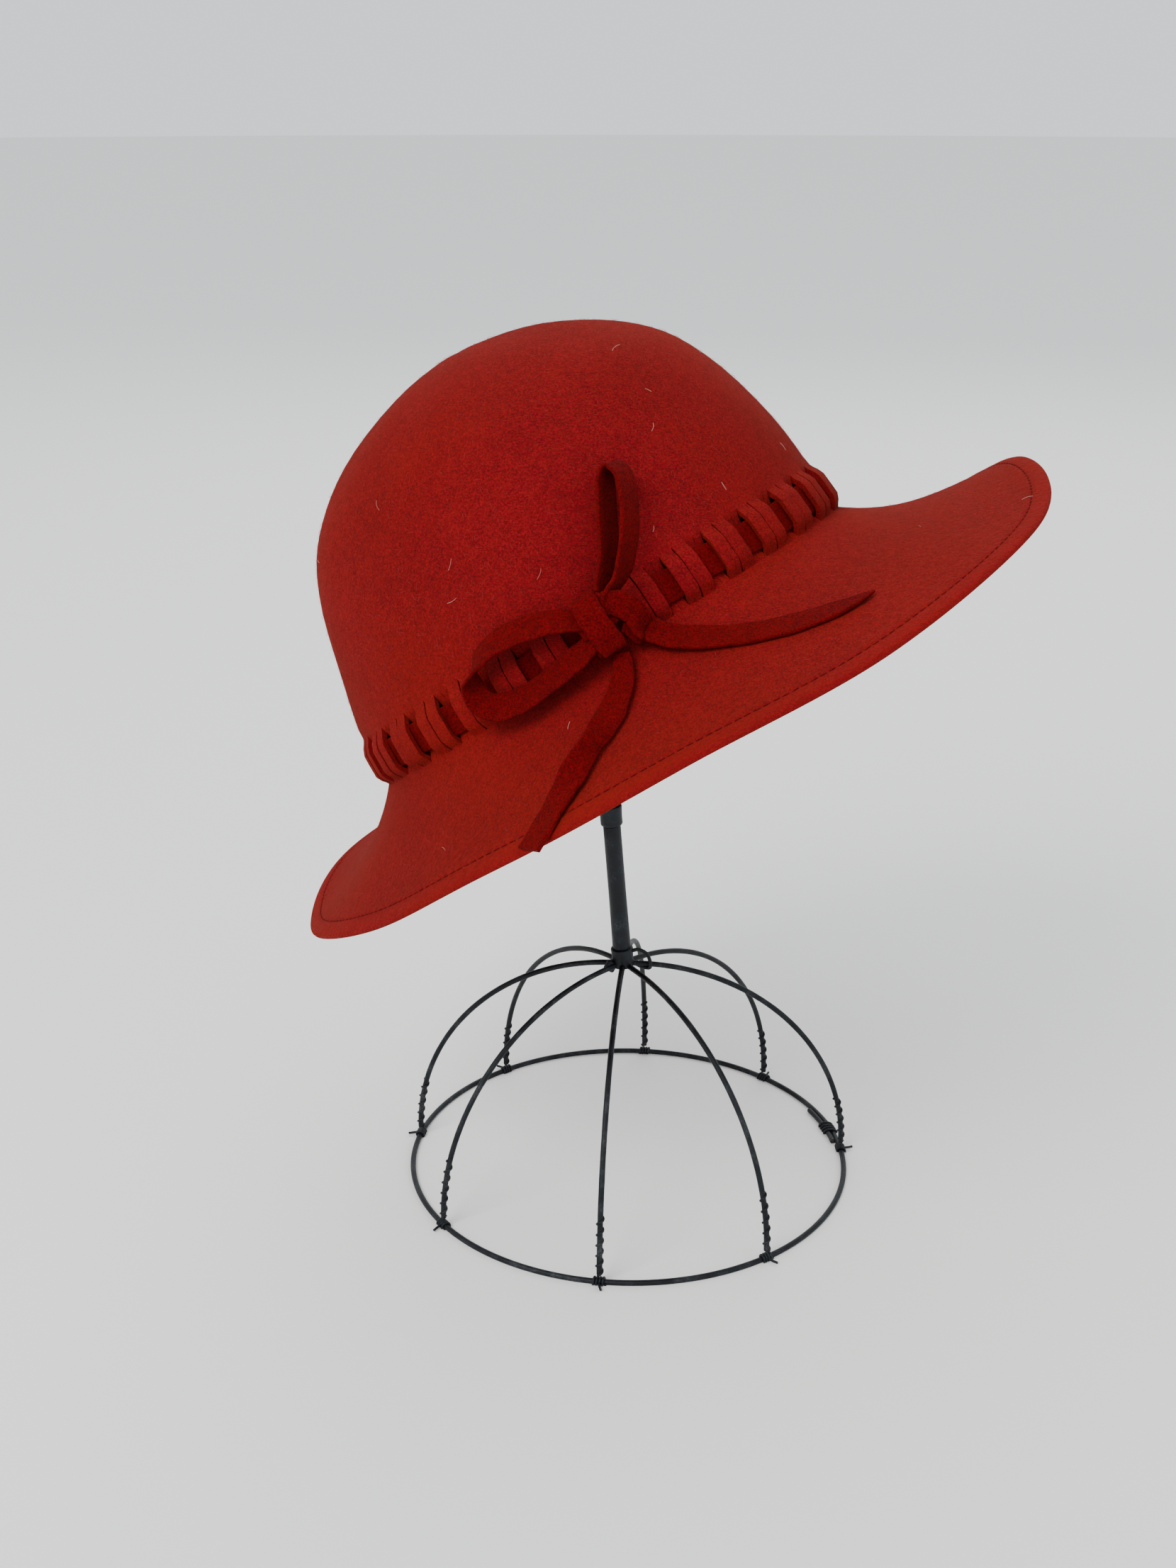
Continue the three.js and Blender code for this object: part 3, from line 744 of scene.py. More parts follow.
def add_ring(azimuths, rows, lifts, thick):
    start = len(points)
    places = hat_point(azimuths, rows) + hat_normal(azimuths, rows) * np.asarray(lifts)[:, None]
    reach = brim_line(azimuths)[:, 0]
    edge = np.where(rows > BRIM_ROW, (9 - rows) * reach, 99)
    for place, row, away, weight in zip(places, rows, edge, thick):
        points.append(place)
        grain = float(step_between(8.1, 8.6, row))
        # The green of felt_zone is the mask for painted sheen near the brim's edge: 1 within 3 mm of it, fading out
        # by 9 mm.
        zones.append((grain, float(step_between(9, 3, away)), float(7 <= row <= 8)))
        thickness.append(weight)
    return start


def hem_thickness(away):
    weight = 0.74 + 0.26 * step_between(9, 7.4, away)
    weight -= 0.34 * np.exp(-((away - STITCH_LINE) / 0.8) ** 2)
    edge = np.clip(1 - away / 1.35, 0, 1)
    return weight * np.sqrt(np.maximum(1 - edge ** 2, 0.06))


# %% Rings of vertices from the top to the brim's edge
rings = []
for row in list(CROWN_ROWS) + [BAND_ROW]:
    rows = np.full(JOINED, float(row))
    lifts = unevenness(joined_azimuths, rows) * float(row < BAND_ROW)
    rings.append(add_ring(joined_azimuths, rows, lifts, np.full(JOINED, 0.74)))
crown_last = len(rings) - 1
band_rings = []
flat_azimuths = azimuth_at([column[0] for column in flat_columns])
for share in BAND_SHARES[1:-1]:
    rows = np.full(len(flat_columns), BAND_ROW + share)
    lifts = []
    for arc, lift, drop in flat_columns:
        if lift > 0:
            lifts.append(lift * raised_bulge(share) - drop * raised_bulge(share))
        else:
            lifts.append(lift * sunk_bulge(share) - drop * sunk_bulge(share))
    band_rings.append(add_ring(flat_azimuths, rows, lifts, np.full(len(flat_columns), 0.70)))
brim_rings = [add_ring(joined_azimuths, np.full(JOINED, float(BRIM_ROW)), np.zeros(JOINED),
                       np.full(JOINED, 0.74))]
joined_reach = brim_line(joined_azimuths)[:, 0]
for share in BRIM_SHARES[:-1]:
    rows = BRIM_ROW + share * (1 - HEM_PLACES[0] / joined_reach)
    away = (9 - rows) * joined_reach
    brim_rings.append(add_ring(joined_azimuths, rows, unevenness(joined_azimuths, rows), hem_thickness(away)))
for place in HEM_PLACES:
    rows = 9 - place / joined_reach
    away = np.full(JOINED, place)
    brim_rings.append(add_ring(joined_azimuths, rows, unevenness(joined_azimuths, rows), hem_thickness(away)))
top = len(points)
points.append(hat_point(0, 0))
zones.append((0, 0, 0))
thickness.append(0.74)
print("hood vertices", len(points))


# %% Faces between the rings
faces = []
for i in range(JOINED):
    j = (i + 1) % JOINED
    faces.append((top, rings[0] + i, rings[0] + j))
    for upper_ring, lower_ring in list(zip(rings, rings[1:])) + list(zip(brim_rings, brim_rings[1:])):
        faces.append((upper_ring + i, lower_ring + i, lower_ring + j, upper_ring + j))
column = 0
for strip in STRIPS:
    for k in range(len(strip) - 1):
        a, b = column + k, column + k + 1
        join_a, join_b = column_owner[a], column_owner[b]
        faces.append((rings[crown_last] + join_a, band_rings[0] + a, band_rings[0] + b,
                      rings[crown_last] + join_b))
        for upper_ring, lower_ring in zip(band_rings, band_rings[1:]):
            faces.append((upper_ring + a, lower_ring + a, lower_ring + b, upper_ring + b))
        faces.append((band_rings[-1] + a, brim_rings[0] + join_a, brim_rings[0] + join_b,
                      band_rings[-1] + b))
    column += len(strip)


# %% [markdown]
# The sheet gets its thickness from a Solidify modifier. A vertex group makes the turned hem
# thicker, thins the felt to a round edge, and presses in the line where the stitches lie.

# %% Thickness of the felt
hood = mesh_piece("hood_felt", to_stand(points), faces)
zone_layer = hood.data.attributes.new("felt_zone", "FLOAT_COLOR", "POINT")
zone_layer.data.foreach_set("color", np.column_stack([zones, np.ones(len(zones))]).ravel())
hem_group = hood.vertex_groups.new(name="hem")
for index, weight in enumerate(thickness):
    hem_group.add([index], float(np.clip((weight - 0.2) / 0.8, 0, 1)), "REPLACE")
solid = hood.modifiers.new("felt thickness", "SOLIDIFY")
solid.thickness = 2.7 * MM
solid.offset = 0
solid.vertex_group = "hem"
solid.thickness_vertex_group = 0.2
solid.use_even_offset = False
apply_all(hood)
settle(hood, "hood_felt", 50)
place_piece(hood, "felt", "felt_hood")


# %% [markdown]
# ## Stitches along the hem
# One row of machine stitches runs round the brim a little inside its edge, in thread of the
# felt's own colour. One stitch is modelled from a small sphere drawn out along the seam, and
# copied to every place on both sides of the brim.

# %% One stitch
start_clean()
bpy.ops.mesh.primitive_uv_sphere_add(segments=6, ring_count=5, radius=1, rotation=(0, math.pi / 2, 0))
stitch = bpy.context.object
bpy.ops.object.transform_apply(rotation=True)
stitch_shape = np.array([vertex.co[:] for vertex in stitch.data.vertices])
stitch_faces = [tuple(face.vertices) for face in stitch.data.polygons]
bpy.data.objects.remove(stitch)

# %% Stitches round the brim
STITCH_STEP = 3.3
stitch_azimuths = np.linspace(0, 2 * math.pi, 4001)
seam_rows = 9 - STITCH_LINE / brim_line(stitch_azimuths)[:, 0]
seam = hat_point(stitch_azimuths, seam_rows)
seam_length = np.concatenate([[0], np.cumsum(np.linalg.norm(np.diff(seam, axis=0), axis=1))])
STITCHES = int(seam_length[-1] / STITCH_STEP)
stitch_points = []
stitch_polygons = []
for side in (1, -1):
    for index in range(STITCHES):
        azimuth = np.interp(seam_length[-1] * index / STITCHES, seam_length, stitch_azimuths)
        row = 9 - STITCH_LINE / brim_line(np.array([azimuth]))[0, 0]
        near = np.array([azimuth, azimuth + 0.01])
        ahead = hat_point(near, np.full(2, row))
        along = (ahead[1] - ahead[0]) / np.linalg.norm(ahead[1] - ahead[0])
        outward = hat_normal(near[:1], np.array([row]))[0]
        lift = unevenness(near[:1], np.array([row]))[0] + side * 1.06
        across = np.cross(outward, along)
        slant = 0.05 * math.sin(index * 2.3)
        along = along * math.cos(slant) + across * math.sin(slant)
        across = np.cross(outward, along)
        frame_of_stitch = np.stack([along * 1.28, across * 0.27, outward * 0.24])
        base = len(stitch_points)
        stitch_points += list(stitch_shape @ frame_of_stitch + ahead[0] + outward * lift)
        stitch_polygons += [tuple(base + k for k in face) for face in stitch_faces]
seam_piece = mesh_piece("hem_stitches", to_stand(stitch_points), stitch_polygons)
settle(seam_piece, "hem_stitches", 80)
place_piece(seam_piece, "felt")


# %% [markdown]
# ## Lace round the crown
# The lace is a narrow strip cut from thin felt. It is laid out as a ribbon with a soft, rounded
# section, because a sheet that is this small and stiff does not need a simulation.

# %% Ribbon helper
def ribbon_outline(width, thick, cup=0.0, count=4):
    """Corners across a felt strip: flat faces with rounded cut edges."""
    half, deep = width / 2, thick / 2
    round_side = [(half - deep * 0.7 + deep * 0.7 * math.cos(a), deep * math.sin(a))
                  for a in np.linspace(-math.pi / 2, math.pi / 2, 6)]
    face = [(x, deep) for x in np.linspace(half - deep * 0.7, -half + deep * 0.7, count + 2)[1:-1]]
    corners = round_side + face + [(-x, -y) for x, y in round_side]
    corners += [(-x, -y) for x, y in face]
    return np.array([(x, y + cup * (1 - (x / half) ** 2)) for x, y in corners])


def ribbon(name, middles, widths, thicks, outline_of, closed=False):
    """A strip through middles. widths and thicks are unit directions at each middle."""
    rings_of_points = []
    for index, (middle, width, thick) in enumerate(zip(middles, widths, thicks)):
        outline = outline_of(index)
        rings_of_points.append(middle + outline[:, :1] * width + outline[:, 1:] * thick)
    sides = len(rings_of_points[0])
    count = len(rings_of_points)
    strip_points = np.concatenate(rings_of_points)
    strip_faces = []
    for index in range(count if closed else count - 1):
        following = (index + 1) % count
        for k in range(sides):
            side = (k + 1) % sides
            strip_faces.append((index * sides + k, index * sides + side,
                                following * sides + side, following * sides + k))
    if not closed:
        strip_faces.append(tuple(range(sides)))
        strip_faces.append(tuple((count - 1) * sides + k for k in range(sides)))
    obj = mesh_piece(name, to_stand(strip_points), strip_faces)
    return settle(obj, name, 55)


def unit(vectors):
    return vectors / np.linalg.norm(vectors, axis=-1)[..., None]


# %% Lace behind the raised strips
LACE_WIDTH = 11.0
LACE_THICK = 1.5
lace_arcs = np.arange(SLIT_PAIRS * 8) * PITCH / 8
lace_azimuths = azimuth_at(lace_arcs)
wobble = 0.35 * np.sin(lace_arcs * 0.113) + 0.2 * np.sin(lace_arcs * 0.41 + 1)
lace_rows = 7.5 + wobble / 19.5
in_window = 0.5 - 0.5 * np.cos(2 * math.pi * lace_arcs / PITCH)
lace_lift = 0.85 - 0.45 * in_window
lace_middles = hat_point(lace_azimuths, lace_rows)
lace_normals = hat_normal(lace_azimuths, lace_rows)
lace_middles = lace_middles + lace_normals * lace_lift[:, None]
lace_along = np.roll(lace_middles, -1, axis=0) - np.roll(lace_middles, 1, axis=0)
lace_along /= np.linalg.norm(lace_along, axis=1)[:, None]
lace_across = np.cross(lace_normals, lace_along)
lace_outline = ribbon_outline(LACE_WIDTH, 1.15)
lace = ribbon("lace_strip", lace_middles, lace_across, np.cross(lace_along, lace_across),
              lambda index: lace_outline, closed=True)
place_piece(lace, "lace_felt", "lace_band")


# %% [markdown]
# ### Facing inside the crown
# A plain strip of the same dark felt is laid inside the crown's foot, as the inner band of a hat
# is. It keeps daylight from showing through the cut slits.

# %% Inner facing
facing_middles = hat_point(lace_azimuths, np.full(len(lace_azimuths), 7.52))
facing_normals = hat_normal(lace_azimuths, np.full(len(lace_azimuths), 7.52))
facing_middles = facing_middles - facing_normals * 3.7
facing_along = unit(np.roll(facing_middles, -1, axis=0) - np.roll(facing_middles, 1, axis=0))
facing_across = np.cross(facing_normals, facing_along)
facing_outline = ribbon_outline(26.0, 0.9)
facing = ribbon("inner_facing", facing_middles, facing_across, np.cross(facing_along, facing_across),
                lambda index: facing_outline, closed=True)
place_piece(facing, "lace_felt")


# %% [markdown]
# ## The bow
# The same lace is tied in a flat bow: a knot, a loop to the side, a loop that stands up, and two
# tails. Each is a ribbon through a few places given as millimetres right of the bow, up the
# crown and off the felt. A loop keeps its width in one direction; a tail lies flat and may twist.

# %% Places on the bow
BOW_WIDTH = 9.5


def row_at(up):
    up = np.asarray(up, float)
    return np.where(up > 9.75, BAND_ROW - (up - 9.75) / 25.5,
                    np.where(up < -9.75, BRIM_ROW + (-9.75 - up) / 50, 7.5 - up / 19.5))


def bow_frame(right, up):
    azimuth = azimuth_at(right)
    outward = hat_normal(azimuth, row_at(up))
    rightward = hat_point(azimuth + 0.01, 8.0) - hat_point(azimuth - 0.01, 8.0)
    rightward /= np.linalg.norm(rightward, axis=-1)[..., None]
    upward = np.cross(outward, rightward)
    return outward, rightward, upward / np.linalg.norm(upward, axis=-1)[..., None]


def bow_place(right, up, lift):
    azimuth = azimuth_at(right)
    row = row_at(up)
    return hat_point(azimuth, row) + hat_normal(azimuth, row) * np.asarray(lift)[..., None]


def lace_piece(name, table, node, leaning=None, steps=7, cup=0.0,
               blunt=0.0):
    """table: right, up, lift, share of the full width, twist in degrees."""
    rows = smooth_route(table, steps)
    right, up, lift, wide, twist = rows.T
    middles = bow_place(right, up, lift)
    along = unit(np.gradient(middles, axis=0))
    outward, rightward, upward = bow_frame(right, up)
    if leaning is None:
        width = np.cross(outward, along)
    else:
        width = leaning[0] * rightward + leaning[1] * upward + leaning[2] * outward
    width = unit(width - along * np.sum(width * along, axis=1)[:, None])
    turn = np.radians(twist)[:, None]
    width = width * np.cos(turn) + np.cross(along, width) * np.sin(turn)
    thick = np.cross(along, width)
    last = len(rows) - 1

    def outline_of(index):
        wave = 1 + 0.025 * math.sin(index * 0.9) + 0.02 * math.sin(index * 0.37 + 1)
        thin = min(1.0, 0.45 + 0.55 * wide[index] / 0.5) * (0.93 if index in (0, last) else 1)
        outline = ribbon_outline(BOW_WIDTH * wide[index] * wave, 1.45 * thin, cup)
        return outline

    middles = middles.copy()
    piece = ribbon(name, middles, width, thick, outline_of)
    if blunt:
        print(name, "cut end")
    place_piece(piece, "lace_felt", *node)
    return piece


# %% Loops
SIDE_LOOP = [
    (-3.4, 4.6, 8.2, 0.7, 0), (-8, 7.4, 8.8, 0.9, 0), (-14, 9.8, 9, 1, 0), (-25, 12.5, 9, 1, 0), (-34.5, 12, 9, 1, 0),
    (-42, 7.5, 9, 1, 0), (-44, 1, 9, 1, 0), (-40.5, -4.5, 8.8, 1, 0), (-31.5, -7, 8.6, 1, 0),
    (-20, -6, 8.6, 1, 0), (-11, -4.5, 8.7, 1, 0), (-6.5, -3.4, 8.6, 0.9, 0), (-3.0, -2.4, 8.2, 0.7, 0)]
UP_LOOP = [
    (6.0, 5.6, 9.6, 0.7, 0), (9, 7.6, 10.1, 0.85, 0), (14.5, 10.5, 11.2, 0.95, 0), (21, 19, 12.5, 1, 0),
    (27, 29, 12.5, 1, 0), (30, 36, 12, 1, 0), (29, 39.5, 10.2, 1, 0), (25, 37, 8.2, 1, 0),
    (19, 28, 7.2, 1, 0), (13.5, 18, 7.4, 0.95, 0), (8.5, 11.5, 8.2, 0.85, 0), (6.2, 8.6, 8.6, 0.7, 0)]
lace_piece("bow_side_loop", SIDE_LOOP, ["bow_loop_side"], (-0.55, -0.75, 0.5))
lace_piece("bow_up_loop", UP_LOOP, ["bow_loop_up"], (-0.77, 0, 0.64))

# %% Tails
FRONT_TAIL = [
    (7.4, -2.4, 9.0, 0.75, 0), (8.2, -3.6, 8.6, 0.8, 0), (9.8, -7.4, 8, 0.9, 0), (12, -10.8, 6.7, 0.95, 0),
    (16, -14.6, 4.6, 1, 0), (22, -18.4, 3.3, 1, 0), (32, -24.2, 2.5, 1, 0), (42, -29.6, 2.4, 1, 0),
    (53, -34.4, 2.4, 0.88, 0), (60, -37, 2.5, 0.5, 0), (64.5, -38.2, 2.6, 0.12, 0)]
DOWN_TAIL = [
    (1.4, -12.8, 5.0, 0.6, 0), (-1.7, -18, 4, 0.85, 0), (-8, -25, 4, 1, -12), (-13, -30.5, 5.2, 0.95, -40),
    (-18, -36, 6.2, 0.85, -62), (-23.5, -41, 5.4, 0.95, -40), (-29, -46, 3.6, 1, -12),
    (-34, -52, 2.5, 1.08, 0), (-39.6, -61.5, 2.4, 1.12, 0)]
lace_piece("bow_front_tail", FRONT_TAIL, ["bow_tail_front"])
lace_piece("bow_down_tail", DOWN_TAIL, ["bow_tail_down"])


# %% [markdown]
# ### Knot
# The knot is the lace itself, wrapped once over the crossing and tucked under. A second short
# turn comes out at its right side as a rounded tongue and runs on into the front tail.

# %% Knot
WRAP = [
    (0.6, 8.6, 5.2, 0.8, 0), (0.3, 10.4, 7.6, 0.9, 0), (0, 9.2, 10.3, 0.96, 0), (-0.3, 5, 11.6, 1, 0),
    (-0.2, 0, 12.0, 1, 0), (0.2, -5, 11.5, 0.98, 0), (0.5, -9.4, 10.0, 0.94, 0), (0.7, -11.4, 7.6, 0.88, 0),
    (0.9, -10.4, 5.4, 0.8, 0)]
TONGUE = [
    (2.0, 4.6, 8.4, 0.7, 0), (4.6, 5.6, 10.4, 0.82, 0), (7.6, 4.2, 11.4, 0.9, 0), (10.2, 0.8, 11.4, 0.92, 0),
    (11.2, -3.4, 10.4, 0.9, 0), (10.6, -7.6, 8.6, 0.86, 0), (9.4, -10.4, 6.6, 0.78, 0)]
knot = lace_piece("bow_wrap", WRAP, ["bow_knot"], (1, 0.1, 0))
tongue = lace_piece("bow_tongue", TONGUE, [], (0.45, 0.75, 0.25))
CORE = [
    (-6.0, 1.2, 8.2, 0.55, 0), (-2, 1.6, 8.6, 0.7, 0), (2, 1.6, 8.8, 0.7, 0), (6.2, 1.6, 9.0, 0.6, 0)]
core = lace_piece("bow_core", CORE, [], (0, 1, 0.1))


# %% [markdown]
# ## Lint
# Felt always carries a few pale stray fibres and specks of dust. They are thin bent hairs in one
# mesh, scattered with a fixed seed so that they lie in the same places each time.

# %% Stray fibres
lint_seed = np.random.default_rng(5)


def hair_routes(count, shortest, longest, rise, rows_from, rows_to):
    routes = []
    for _ in range(count):
        azimuth = lint_seed.uniform(0, 2 * math.pi)
        row = math.sqrt(lint_seed.uniform(rows_from ** 2, rows_to ** 2))
        if BAND_ROW - 0.1 < row < BRIM_ROW + 0.15:
            row = row - 1.4
        start = hat_point(np.array([azimuth]), np.array([row]))[0]
        normal = hat_normal(np.array([azimuth]), np.array([row]))[0]
        turn = lint_seed.uniform(0, 2 * math.pi)
        side = unit(np.cross(normal, (math.cos(turn), math.sin(turn), 0.3)))
        length = lint_seed.uniform(shortest, longest)
        bend = np.cross(normal, side) * lint_seed.uniform(-0.5, 0.5) * length
        base = start + normal * (1.0 + unevenness(np.array([azimuth]), np.array([row]))[0])
        steps = np.linspace(0, 1, 5)[:, None]
        lift = normal * rise * np.sin(steps * math.pi * 0.62)
        routes.append(to_stand(base + side * length * steps + bend * steps ** 2 + lift))
    return routes


lint = bent_wire("stray_lint", hair_routes(28, 1.2, 4.5, 0.5, 0.8, 8.9), 0.045 * MM, 0)
place_piece(lint, "felt")
nap = bent_wire("raised_nap", hair_routes(5200, 0.7, 2.0, 0.45, 0.3, 8.95), 0.028 * MM, 0)
place_piece(nap, "felt")


# %% [markdown]
# ## Materials
# Effects that several finishes share are node groups: a felt nap with mottled dye and fine
# fibres, and a worn, slightly dusty skin for iron. The groups give only values and heights. The
# shader itself, with its sheen and its fresnel, stays in each material.

# %% Node helpers
def new_group(name, inputs, outputs):
    tree = bpy.data.node_groups.new(name, "ShaderNodeTree")
    for label, kind, value in inputs:
        socket = tree.interface.new_socket(name=label, in_out="INPUT", socket_type=kind)
        if value is not None:
            socket.default_value = value
    for label, kind in outputs:
        tree.interface.new_socket(name=label, in_out="OUTPUT", socket_type=kind)
    return tree, tree.nodes.new("NodeGroupInput"), tree.nodes.new("NodeGroupOutput")


def put(tree, kind, **settings):
    node = tree.nodes.new(kind)
    for key, value in settings.items():
        setattr(node, key, value)
    return node


def noise(tree, vector, scale, detail=3.0, rough=0.55, distortion=0.0):
    node = put(tree, "ShaderNodeTexNoise")
    tree.links.new(vector, node.inputs["Vector"])
    node.inputs["Detail"].default_value = detail
    node.inputs["Roughness"].default_value = rough
    node.inputs["Distortion"].default_value = distortion
    if isinstance(scale, (int, float)):
        node.inputs["Scale"].default_value = scale
    else:
        tree.links.new(scale, node.inputs["Scale"])
    return node.outputs["Fac"]


def maths(tree, operation, first, second=None, third=None):
    node = put(tree, "ShaderNodeMath", operation=operation)
    for index, value in enumerate((first, second, third)):
        if value is None:
            continue
        if isinstance(value, (int, float)):
            node.inputs[index].default_value = value
        else:
            tree.links.new(value, node.inputs[index])
    return node.outputs[0]


def remap(tree, value, low, high, to_low=0.0, to_high=1.0):
    node = put(tree, "ShaderNodeMapRange")
    tree.links.new(value, node.inputs["Value"])
    for label, number in (("From Min", low), ("From Max", high), ("To Min", to_low), ("To Max", to_high)):
        node.inputs[label].default_value = number
    return node.outputs["Result"]


def mapped(tree, vector, scale, rotation=(0, 0, 0)):
    node = put(tree, "ShaderNodeMapping")
    tree.links.new(vector, node.inputs["Vector"])
    node.inputs["Scale"].default_value = scale
    node.inputs["Rotation"].default_value = rotation
    return node.outputs["Vector"]


# %% [markdown]
# ### Felt nap
# Wool felt has three scales: a cloudy unevenness of the dye over centimetres, a mottle of a few
# millimetres, and crossing fibres much finer than a millimetre. The fibres come from noise that is
# stretched in three directions, kept where it is strongest.

# %% Felt nap group
nap_group, nap_in, nap_out = new_group(
    "felt_nap",
    [("Vector", "NodeSocketVector", None), ("Fibre Scale", "NodeSocketFloat", 1.0)],
    [("Shade", "NodeSocketFloat"), ("Fibres", "NodeSocketFloat"), ("Height", "NodeSocketFloat")])
place_vector = nap_in.outputs["Vector"]
cloud = noise(nap_group, place_vector, 26, 2.0)
mottle = noise(nap_group, place_vector, 330, 4.0, 0.6, 0.4)
speckle = noise(nap_group, place_vector, 1500, 3.0, 0.65)
strands = None
for rotation in ((0.3, 0.5, 0.1), (1.3, 0.2, 0.9), (0.6, 1.4, 2.1)):
    stretched = mapped(nap_group, place_vector, (420, 3600, 3600), rotation)
    strand = noise(nap_group, stretched, 1.0, 2.0, 0.5, 0.8)
    strand = remap(nap_group, strand, 0.56, 0.74)
    strands = strand if strands is None else maths(nap_group, "MAXIMUM", strands, strand)
shade = maths(nap_group, "MULTIPLY_ADD", cloud, 0.09, 0.10)
shade = maths(nap_group, "MULTIPLY_ADD", mottle, 0.15, shade)
shade = maths(nap_group, "MULTIPLY_ADD", speckle, 0.56, shade)
height = maths(nap_group, "MULTIPLY_ADD", strands, 0.5, maths(nap_group, "MULTIPLY", speckle, 0.5))
height = maths(nap_group, "MULTIPLY_ADD", mottle, 0.35, height)
nap_group.links.new(shade, nap_out.inputs["Shade"])
nap_group.links.new(strands, nap_out.inputs["Fibres"])
nap_group.links.new(height, nap_out.inputs["Height"])


# %% Felt material
def colour_ramp(tree, value, stops):
    node = put(tree, "ShaderNodeValToRGB")
    tree.links.new(value, node.inputs["Fac"])
    ramp = node.color_ramp
    while len(ramp.elements) < len(stops):
        ramp.elements.new(0.5)
    for element, (position, colour) in zip(ramp.elements, stops):
        element.position = position
        element.color = (*colour, 1)
    return node.outputs["Color"]


def mix_colour(tree, factor, first, second, blend="MIX"):
    node = put(tree, "ShaderNodeMix", data_type="RGBA", blend_type=blend)
    if isinstance(factor, (int, float)):
        node.inputs[0].default_value = factor
    else:
        tree.links.new(factor, node.inputs[0])
    for index, value in ((6, first), (7, second)):
        if isinstance(value, tuple):
            node.inputs[index].default_value = (*value, 1)
        else:
            tree.links.new(value, node.inputs[index])
    return node.outputs[2]


def felt_material(name, dark, middle, light, fibre, sheen, tint, bump, zones_too=False):
    material = bpy.data.materials.new(name)
    material.use_nodes = True
    tree = material.node_tree
    shader = tree.nodes["Principled BSDF"]
    place = put(tree, "ShaderNodeTexCoord").outputs["Object"]
    nap_node = put(tree, "ShaderNodeGroup", node_tree=nap_group)
    tree.links.new(place, nap_node.inputs["Vector"])
    shade_value = remap(tree, nap_node.outputs["Shade"], 0.41, 0.59)
    colour = colour_ramp(tree, shade_value, [(0.0, dark), (0.5, middle), (1.0, light)])
    fibre_share = maths(tree, "MULTIPLY", nap_node.outputs["Fibres"], 0.30)
    colour = mix_colour(tree, fibre_share, colour, fibre)
    height_value = nap_node.outputs["Height"]
    if zones_too:
        zone = put(tree, "ShaderNodeVertexColor", layer_name="felt_zone")
        parts = put(tree, "ShaderNodeSeparateColor")
        tree.links.new(zone.outputs["Color"], parts.inputs["Color"])
        pebble = put(tree, "ShaderNodeTexVoronoi", feature="SMOOTH_F1")
        tree.links.new(place, pebble.inputs["Vector"])
        pebble.inputs["Scale"].default_value = 620
        grain = maths(tree, "MULTIPLY", pebble.outputs["Distance"], parts.outputs["Red"])
        height_value = maths(tree, "MULTIPLY_ADD", grain, 1.5, height_value)
        shadow = maths(tree, "MULTIPLY", remap(tree, grain, 0.35, 0.05), parts.outputs["Red"])
        shadow = maths(tree, "MULTIPLY", shadow, 0.38)
        colour = mix_colour(tree, shadow, colour, dark)
        # Painted sheen: near the brim's edge the felt is mixed towards its lightest tone, for the light that the fuzz
        # there catches.
        painted_edge_sheen = maths(tree, "MULTIPLY", parts.outputs["Green"], 0.35)
        colour = mix_colour(tree, painted_edge_sheen, colour, light)
        warm = noise(tree, place, 9, 1.0)
        warm = maths(tree, "MULTIPLY", remap(tree, warm, 0.35, 0.7), 0.25)
        colour = mix_colour(tree, warm, colour, (0.21, 0.0085, 0.0055))
    tree.links.new(colour, shader.inputs["Base Color"])
    bump_node = put(tree, "ShaderNodeBump")
    bump_node.inputs["Strength"].default_value = bump
    bump_node.inputs["Distance"].default_value = 0.0004
    tree.links.new(height_value, bump_node.inputs["Height"])
    tree.links.new(bump_node.outputs["Normal"], shader.inputs["Normal"])
    tree.links.new(remap(tree, nap_node.outputs["Fibres"], 0, 1, 0.96, 0.82), shader.inputs["Roughness"])
    shader.inputs["Specular IOR Level"].default_value = 0.04
    shader.inputs["Sheen Weight"].default_value = sheen
    shader.inputs["Sheen Roughness"].default_value = 0.42
    shader.inputs["Sheen Tint"].default_value = (*tint, 1)
    return material


hat_felt = felt_material(
    "red_wool_felt", (0.078, 0.0018, 0.0048), (0.155, 0.0034, 0.0078), (0.225, 0.0060, 0.0100),
    (0.33, 0.022, 0.016), 0.085, (1.0, 0.22, 0.02), 0.9, True)
lace_cloth = felt_material(
    "dark_lace_felt", (0.048, 0.0008, 0.0018), (0.100, 0.0016, 0.0032), (0.146, 0.0030, 0.0042),
    (0.17, 0.008, 0.006), 0.03, (1.0, 0.14, 0.03), 0.8)
thread = felt_material(
    "red_thread", (0.06, 0.0012, 0.003), (0.095, 0.0022, 0.0045), (0.14, 0.004, 0.006),
    (0.30, 0.03, 0.02), 0.05, (1.0, 0.3, 0.2), 0.4)


# %% Lint material
def fibre_material(name, low, high, roughness):
    material = bpy.data.materials.new(name)
    material.use_nodes = True
    tree = material.node_tree
    shader = tree.nodes["Principled BSDF"]
    place = put(tree, "ShaderNodeTexCoord").outputs["Object"]
    mixed = colour_ramp(tree, noise(tree, place, 60, 1.0), [(0.35, low), (0.65, high)])
    tree.links.new(mixed, shader.inputs["Base Color"])
    shader.inputs["Roughness"].default_value = roughness
    return material


lint_fibre = fibre_material("pale_lint", (0.55, 0.16, 0.12), (0.75, 0.52, 0.45), 0.9)
nap_fibre = fibre_material("felt_fibre", (0.19, 0.006, 0.008), (0.28, 0.020, 0.017), 0.9)


# %% [markdown]
# ### Iron
# The wire is black iron with a bluish, satin skin: roughness varies in patches, the high places
# are rubbed a little paler and the metal is faintly pitted.

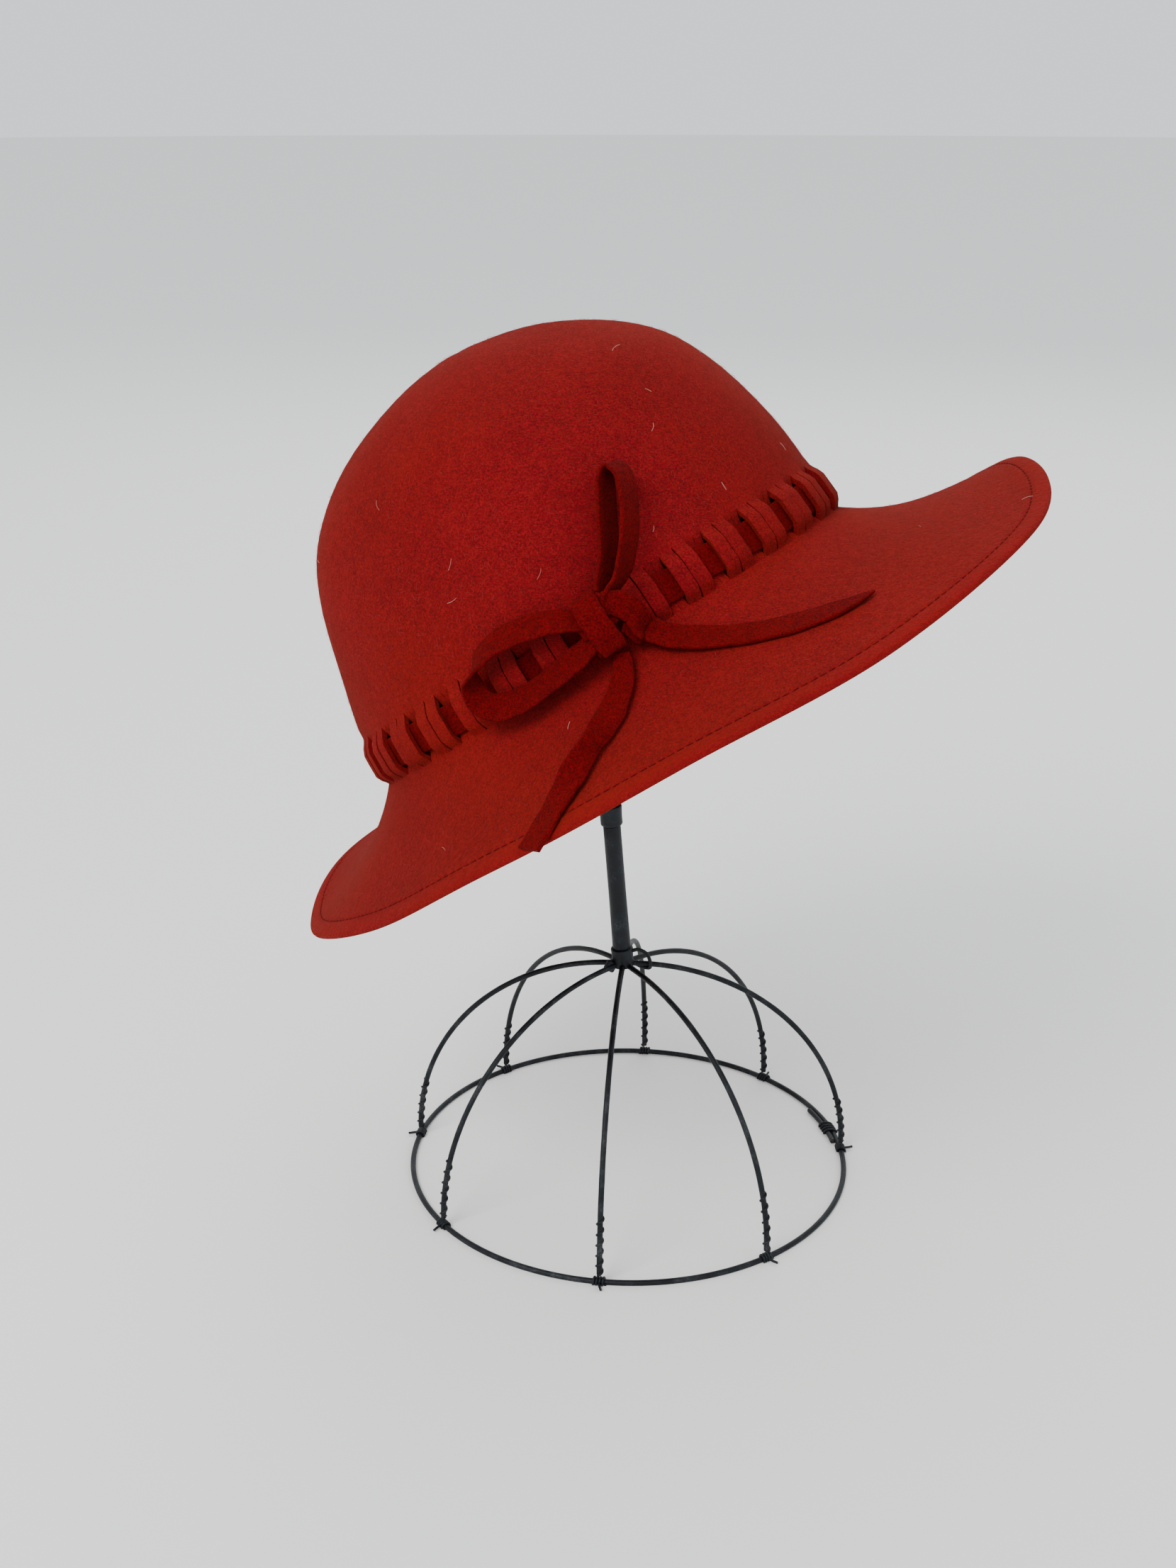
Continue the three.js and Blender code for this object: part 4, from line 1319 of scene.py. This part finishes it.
# %% Iron skin group
iron_group, iron_in, iron_out = new_group(
    "iron_skin",
    [("Vector", "NodeSocketVector", None)],
    [("Wear", "NodeSocketFloat"), ("Pits", "NodeSocketFloat"), ("Patches", "NodeSocketFloat")])
iron_place = iron_in.outputs["Vector"]
patches = noise(iron_group, iron_place, 140, 4.0, 0.6)
pits = noise(iron_group, iron_place, 1600, 3.0, 0.6)
wear = maths(iron_group, "MULTIPLY", remap(iron_group, patches, 0.5, 0.72),
             remap(iron_group, pits, 0.42, 0.62))
iron_group.links.new(wear, iron_out.inputs["Wear"])
iron_group.links.new(pits, iron_out.inputs["Pits"])
iron_group.links.new(patches, iron_out.inputs["Patches"])


# %% Iron material
def iron_material(name, deep, skin, rubbed, metallic, rough_low, rough_high, bump):
    material = bpy.data.materials.new(name)
    material.use_nodes = True
    tree = material.node_tree
    shader = tree.nodes["Principled BSDF"]
    place = put(tree, "ShaderNodeTexCoord").outputs["Object"]
    skin_node = put(tree, "ShaderNodeGroup", node_tree=iron_group)
    tree.links.new(place, skin_node.inputs["Vector"])
    colour = colour_ramp(tree, skin_node.outputs["Patches"], [(0.35, deep), (0.68, skin)])
    colour = mix_colour(tree, maths(tree, "MULTIPLY", skin_node.outputs["Wear"], 0.5), colour, rubbed)
    tree.links.new(colour, shader.inputs["Base Color"])
    tree.links.new(remap(tree, skin_node.outputs["Patches"], 0.3, 0.7, rough_low, rough_high),
                   shader.inputs["Roughness"])
    bump_node = put(tree, "ShaderNodeBump")
    bump_node.inputs["Strength"].default_value = bump
    bump_node.inputs["Distance"].default_value = 0.0002
    tree.links.new(skin_node.outputs["Pits"], bump_node.inputs["Height"])
    tree.links.new(bump_node.outputs["Normal"], shader.inputs["Normal"])
    shader.inputs["Metallic"].default_value = metallic
    shader.inputs["Specular IOR Level"].default_value = 0.22
    return material


wire_iron = iron_material("black_wire_iron", (0.006, 0.007, 0.009), (0.015, 0.018, 0.021),
                          (0.10, 0.10, 0.10), 0.35, 0.42, 0.62, 0.4)
post_iron = iron_material("blued_iron", (0.004, 0.005, 0.007), (0.010, 0.013, 0.017),
                          (0.05, 0.055, 0.06), 0.08, 0.42, 0.60, 0.3)


# %% Each piece gets its finish
def paint(material, *names):
    for obj in bpy.data.objects:
        if obj.type == "MESH" and obj.name.startswith(names):
            obj.data.materials.clear()
            obj.data.materials.append(material)
            print(material.name, "on", obj.name)


paint(hat_felt, "hood_felt")
paint(lace_cloth, "lace_strip", "inner_facing", "bow_side_loop", "bow_up_loop", "bow_front_tail", "bow_down_tail",
      "bow_wrap", "bow_tongue", "bow_core")
paint(thread, "hem_stitches")
paint(lint_fibre, "stray_lint")
paint(nap_fibre, "raised_nap")
paint(wire_iron, "ring_", "rib_wire", "rib_binding", "hub_ear", "hub_gather")
paint(post_iron, "hub_collar", "post_rod", "neck_collar", "dome_head", "hub_lug")
